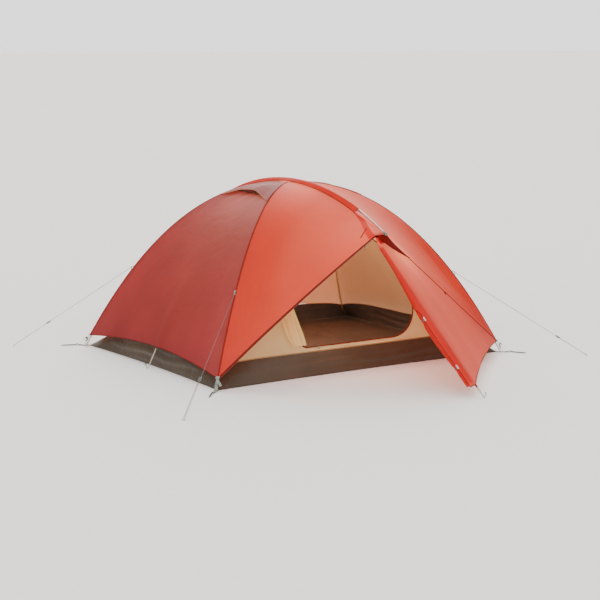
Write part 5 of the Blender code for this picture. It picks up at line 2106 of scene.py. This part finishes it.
@dataclass
class CornerHardware:
    """What anchors a corner: webbing, ladder buckle, pole foot and stake."""

    corner: Corner
    peg_turn: float
    width: float = 0.020
    thickness: float = 0.0018
    reach_out: float = 0.052
    clear: float = 0.0035
    top_drop: float = 0.006
    buckle_at: float = 0.58
    buckle: Tuple[float, float, float, float] = (0.026, 0.027, 0.0066, 0.0024)
    peg_d: float = 0.0075
    peg_l: float = 0.120
    peg_gap: float = 0.006

    def build(self) -> None:
        """Makes one corner."""
        label = self.corner.label
        out = FORM.radial(self.corner)
        reach = math.hypot(FORM.foot_x, FORM.foot_y)
        floor_corner = math.hypot(FORM.foot_x - FORM.floor_inset_x, FORM.foot_y - FORM.floor_inset_y)
        up = np.array([0.0, 0.0, 1.0])
        low = out * (reach + self.clear) + up * self.thickness
        high = out * (FORM.foot_share * reach + self.clear + 0.001) + up * (FORM.hem_corner - self.top_drop)
        along = unit(high - low)
        face = unit(np.cross(np.cross(along, out), along))
        tab_line = [out * (floor_corner - 0.004) + up * 0.004, out * (floor_corner + 0.010) + up * 0.0022,
                    out * (reach + 0.01) + up * 0.0022, out * (reach + self.reach_out - 0.006) + up * 0.0022,
                    out * (reach + self.reach_out) + up * 0.0045,
                    out * (reach + self.reach_out - 0.010) + up * 0.0062,
                    out * (reach + 0.018) + up * 0.0052]
        tab = ribbon(f"floor_tab_{label}", spaced(tab_line, 34), [up] * 34, self.width,
                     strap_section(self.thickness), WEBBING_GREY)
        fit(tab, "tent", Slot.WEBBING, f"corner_webbing_{label}")
        slant = [low, lerp(low, high, 0.5), high + along * 0.008]
        strap = ribbon(f"corner_strap_{label}", spaced(slant, 14), [face] * 14, self.width,
                       strap_section(self.thickness), WEBBING_GREY)
        fit(strap, "tent", Slot.WEBBING, f"corner_webbing_{label}")
        middle = lerp(low, high, self.buckle_at)
        lane = np.cross(along, face)
        cage = box_cage(f"ladder_buckle_{label}", ladder(*self.buckle, 3),
                        placement(middle, along, lane), PLASTIC_GREY, 0.0008)
        fit(cage, f"buckle_{label}", Slot.PLASTIC, f"corner_buckle_{label}")
        tail_line = [middle + face * 0.005 + along * 0.012,
                     middle + face * 0.013 + along * 0.016 + lane * 0.010,
                     middle + face * 0.017 + along * 0.006 + lane * 0.025,
                     middle + face * 0.012 - along * 0.012 + lane * 0.035]
        tail = ribbon(f"webbing_tail_{label}", spaced(tail_line, 14), [face] * 14, self.width * 0.8,
                      strap_section(self.thickness), WEBBING_GREY)
        fit(tail, f"buckle_{label}", Slot.WEBBING)
        hem_tab = [high + along * 0.024 - face * 0.002, high + along * 0.014 + face * 0.0055,
                   high + along * 0.005 + face * 0.0060, high + along * 0.012 + face * 0.0015]
        loop = ribbon(f"hem_loop_{label}", spaced(hem_tab, 16), [face] * 16, self.width * 1.3,
                      strap_section(self.thickness), WEBBING_GREY)
        fit(loop, "tent", Slot.WEBBING)
        foot = [FORM.pole_axis(t, self.corner.sx, self.corner.sy) for t in np.linspace(0.968, 0.9955, 8)]
        radii = [0.0052, 0.0066, 0.0066, 0.0060, 0.0066, 0.0066, 0.0060, 0.0050]
        fit(tube(f"pole_foot_{label}", foot, radii, PLASTIC_PALE, 14), "tent", Slot.PLASTIC)
        self._stake(out, reach)

    def _stake(self, out: np.ndarray, reach: float) -> None:
        """The stake, a forged V section with a hooked head.

        Args:
            out: The level way out from the crown.
            reach: How far out the pole's foot stands.
        """
        label = self.corner.label
        turn = math.radians(self.peg_turn)
        heading = np.array([math.cos(turn), math.sin(turn), 0.0])
        base = out * (reach + self.reach_out + self.peg_gap) + np.array([0, 0, self.peg_d / 2])
        line = [base + heading * d for d in np.linspace(0, self.peg_l, 16)]
        width = self.peg_d * 1.5
        section = ((-1.0, 0.0030), (-0.1, -0.0026), (0.1, -0.0026), (1.0, 0.0030), (0.86, 0.0036),
                   (0.0, -0.0008), (-0.86, 0.0036), (-1.0, 0.0030))
        bar = ribbon(f"stake_{label}", line, [np.array([0.0, 0.0, 1.0])] * 16, width, section, STAKE_GREY)
        taper_end(bar, line[-4], line[-1])
        fit(bar, "tent", Slot.PEG, f"corner_peg_{label}")
        hook_line = [base + heading * 0.010 + [0, 0, 0.002], base + heading * 0.004 + [0, 0, 0.006],
                     base - heading * 0.004 + [0, 0, 0.008], base - heading * 0.010 + [0, 0, 0.004]]
        hook = tube(f"stake_hook_{label}", spaced(hook_line, 10), 0.0024, STAKE_GREY, 8)
        fit(hook, "tent", Slot.PEG)


def taper_end(obj: bpy.types.Object, start: np.ndarray, tip: np.ndarray) -> None:
    """Draws a bar's last stretch together to a blunt point.

    Args:
        obj: The bar.
        start: Where the taper begins.
        tip: Its end.
    """
    along = unit(tip - start)
    reach = float(np.linalg.norm(tip - start))
    for vert in obj.data.vertices:
        place = np.array(vert.co)
        share = min(max(float((place - start).dot(along)) / reach, 0.0), 1.0)
        axis = start + along * float((place - start).dot(along))
        vert.co = Vector(lerp(place, axis, 0.75 * share))


@dataclass
class Sliders:
    """The two door zips' sliders, with cord pulls, and the wire pegs at the hems."""

    def build(self) -> None:
        """Dresses and completes them."""
        for node in ("hem_peg_left", "hem_peg_right", "vestibule_peg_front", "vestibule_peg_rear"):
            dress(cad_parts[node], STAKE_GREY)
        for name, body, drop in (("fly_zip_slider", "fly_slider", (-0.004, -0.006, -0.026)),
                                 ("inner_zip_slider", "inner_slider", (0.004, -0.005, -0.022))):
            low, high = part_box(name)
            middle = (np.array(low) + np.array(high)) / 2
            size = np.array(high) - np.array(low)
            dress(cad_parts[name], STAKE_GREY)
            pull_line = [middle + [0, -size[1] / 2, 0], middle + np.array(drop) * 0.4,
                         middle + np.array(drop)]
            pull = tube(f"{name}_pull", spaced(pull_line, 8), [0.0012] * 5 + [0.0026, 0.0030, 0.0022],
                        PLASTIC_GREY, 8)
            fit(pull, body, Slot.PLASTIC)


def main() -> None:
    """Builds the studio and every sub-assembly, and reports each one."""
    logging.basicConfig(level=logging.INFO, format="%(message)s")
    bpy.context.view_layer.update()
    parts = [
        ("studio", Studio()),
        ("cords", Cords()),
        ("poles", Poles()),
        ("inner tent", InnerTent()),
        ("fly", Fly()),
        ("vents", Vents()),
        ("vestibules", Vestibules()),
    ]
    turns = {Corner.FRONT_LEFT: 230.0, Corner.FRONT_RIGHT: 302.0, Corner.REAR_LEFT: 158.0,
             Corner.REAR_RIGHT: 22.0}
    parts += [(f"{corner.label} corner", CornerHardware(corner, turn)) for corner, turn in turns.items()]
    parts.append(("sliders and pegs", Sliders()))
    for name, part in parts:
        part.build()
        LOG.info("built the %s", name)


if __name__ == "__main__":
    main()
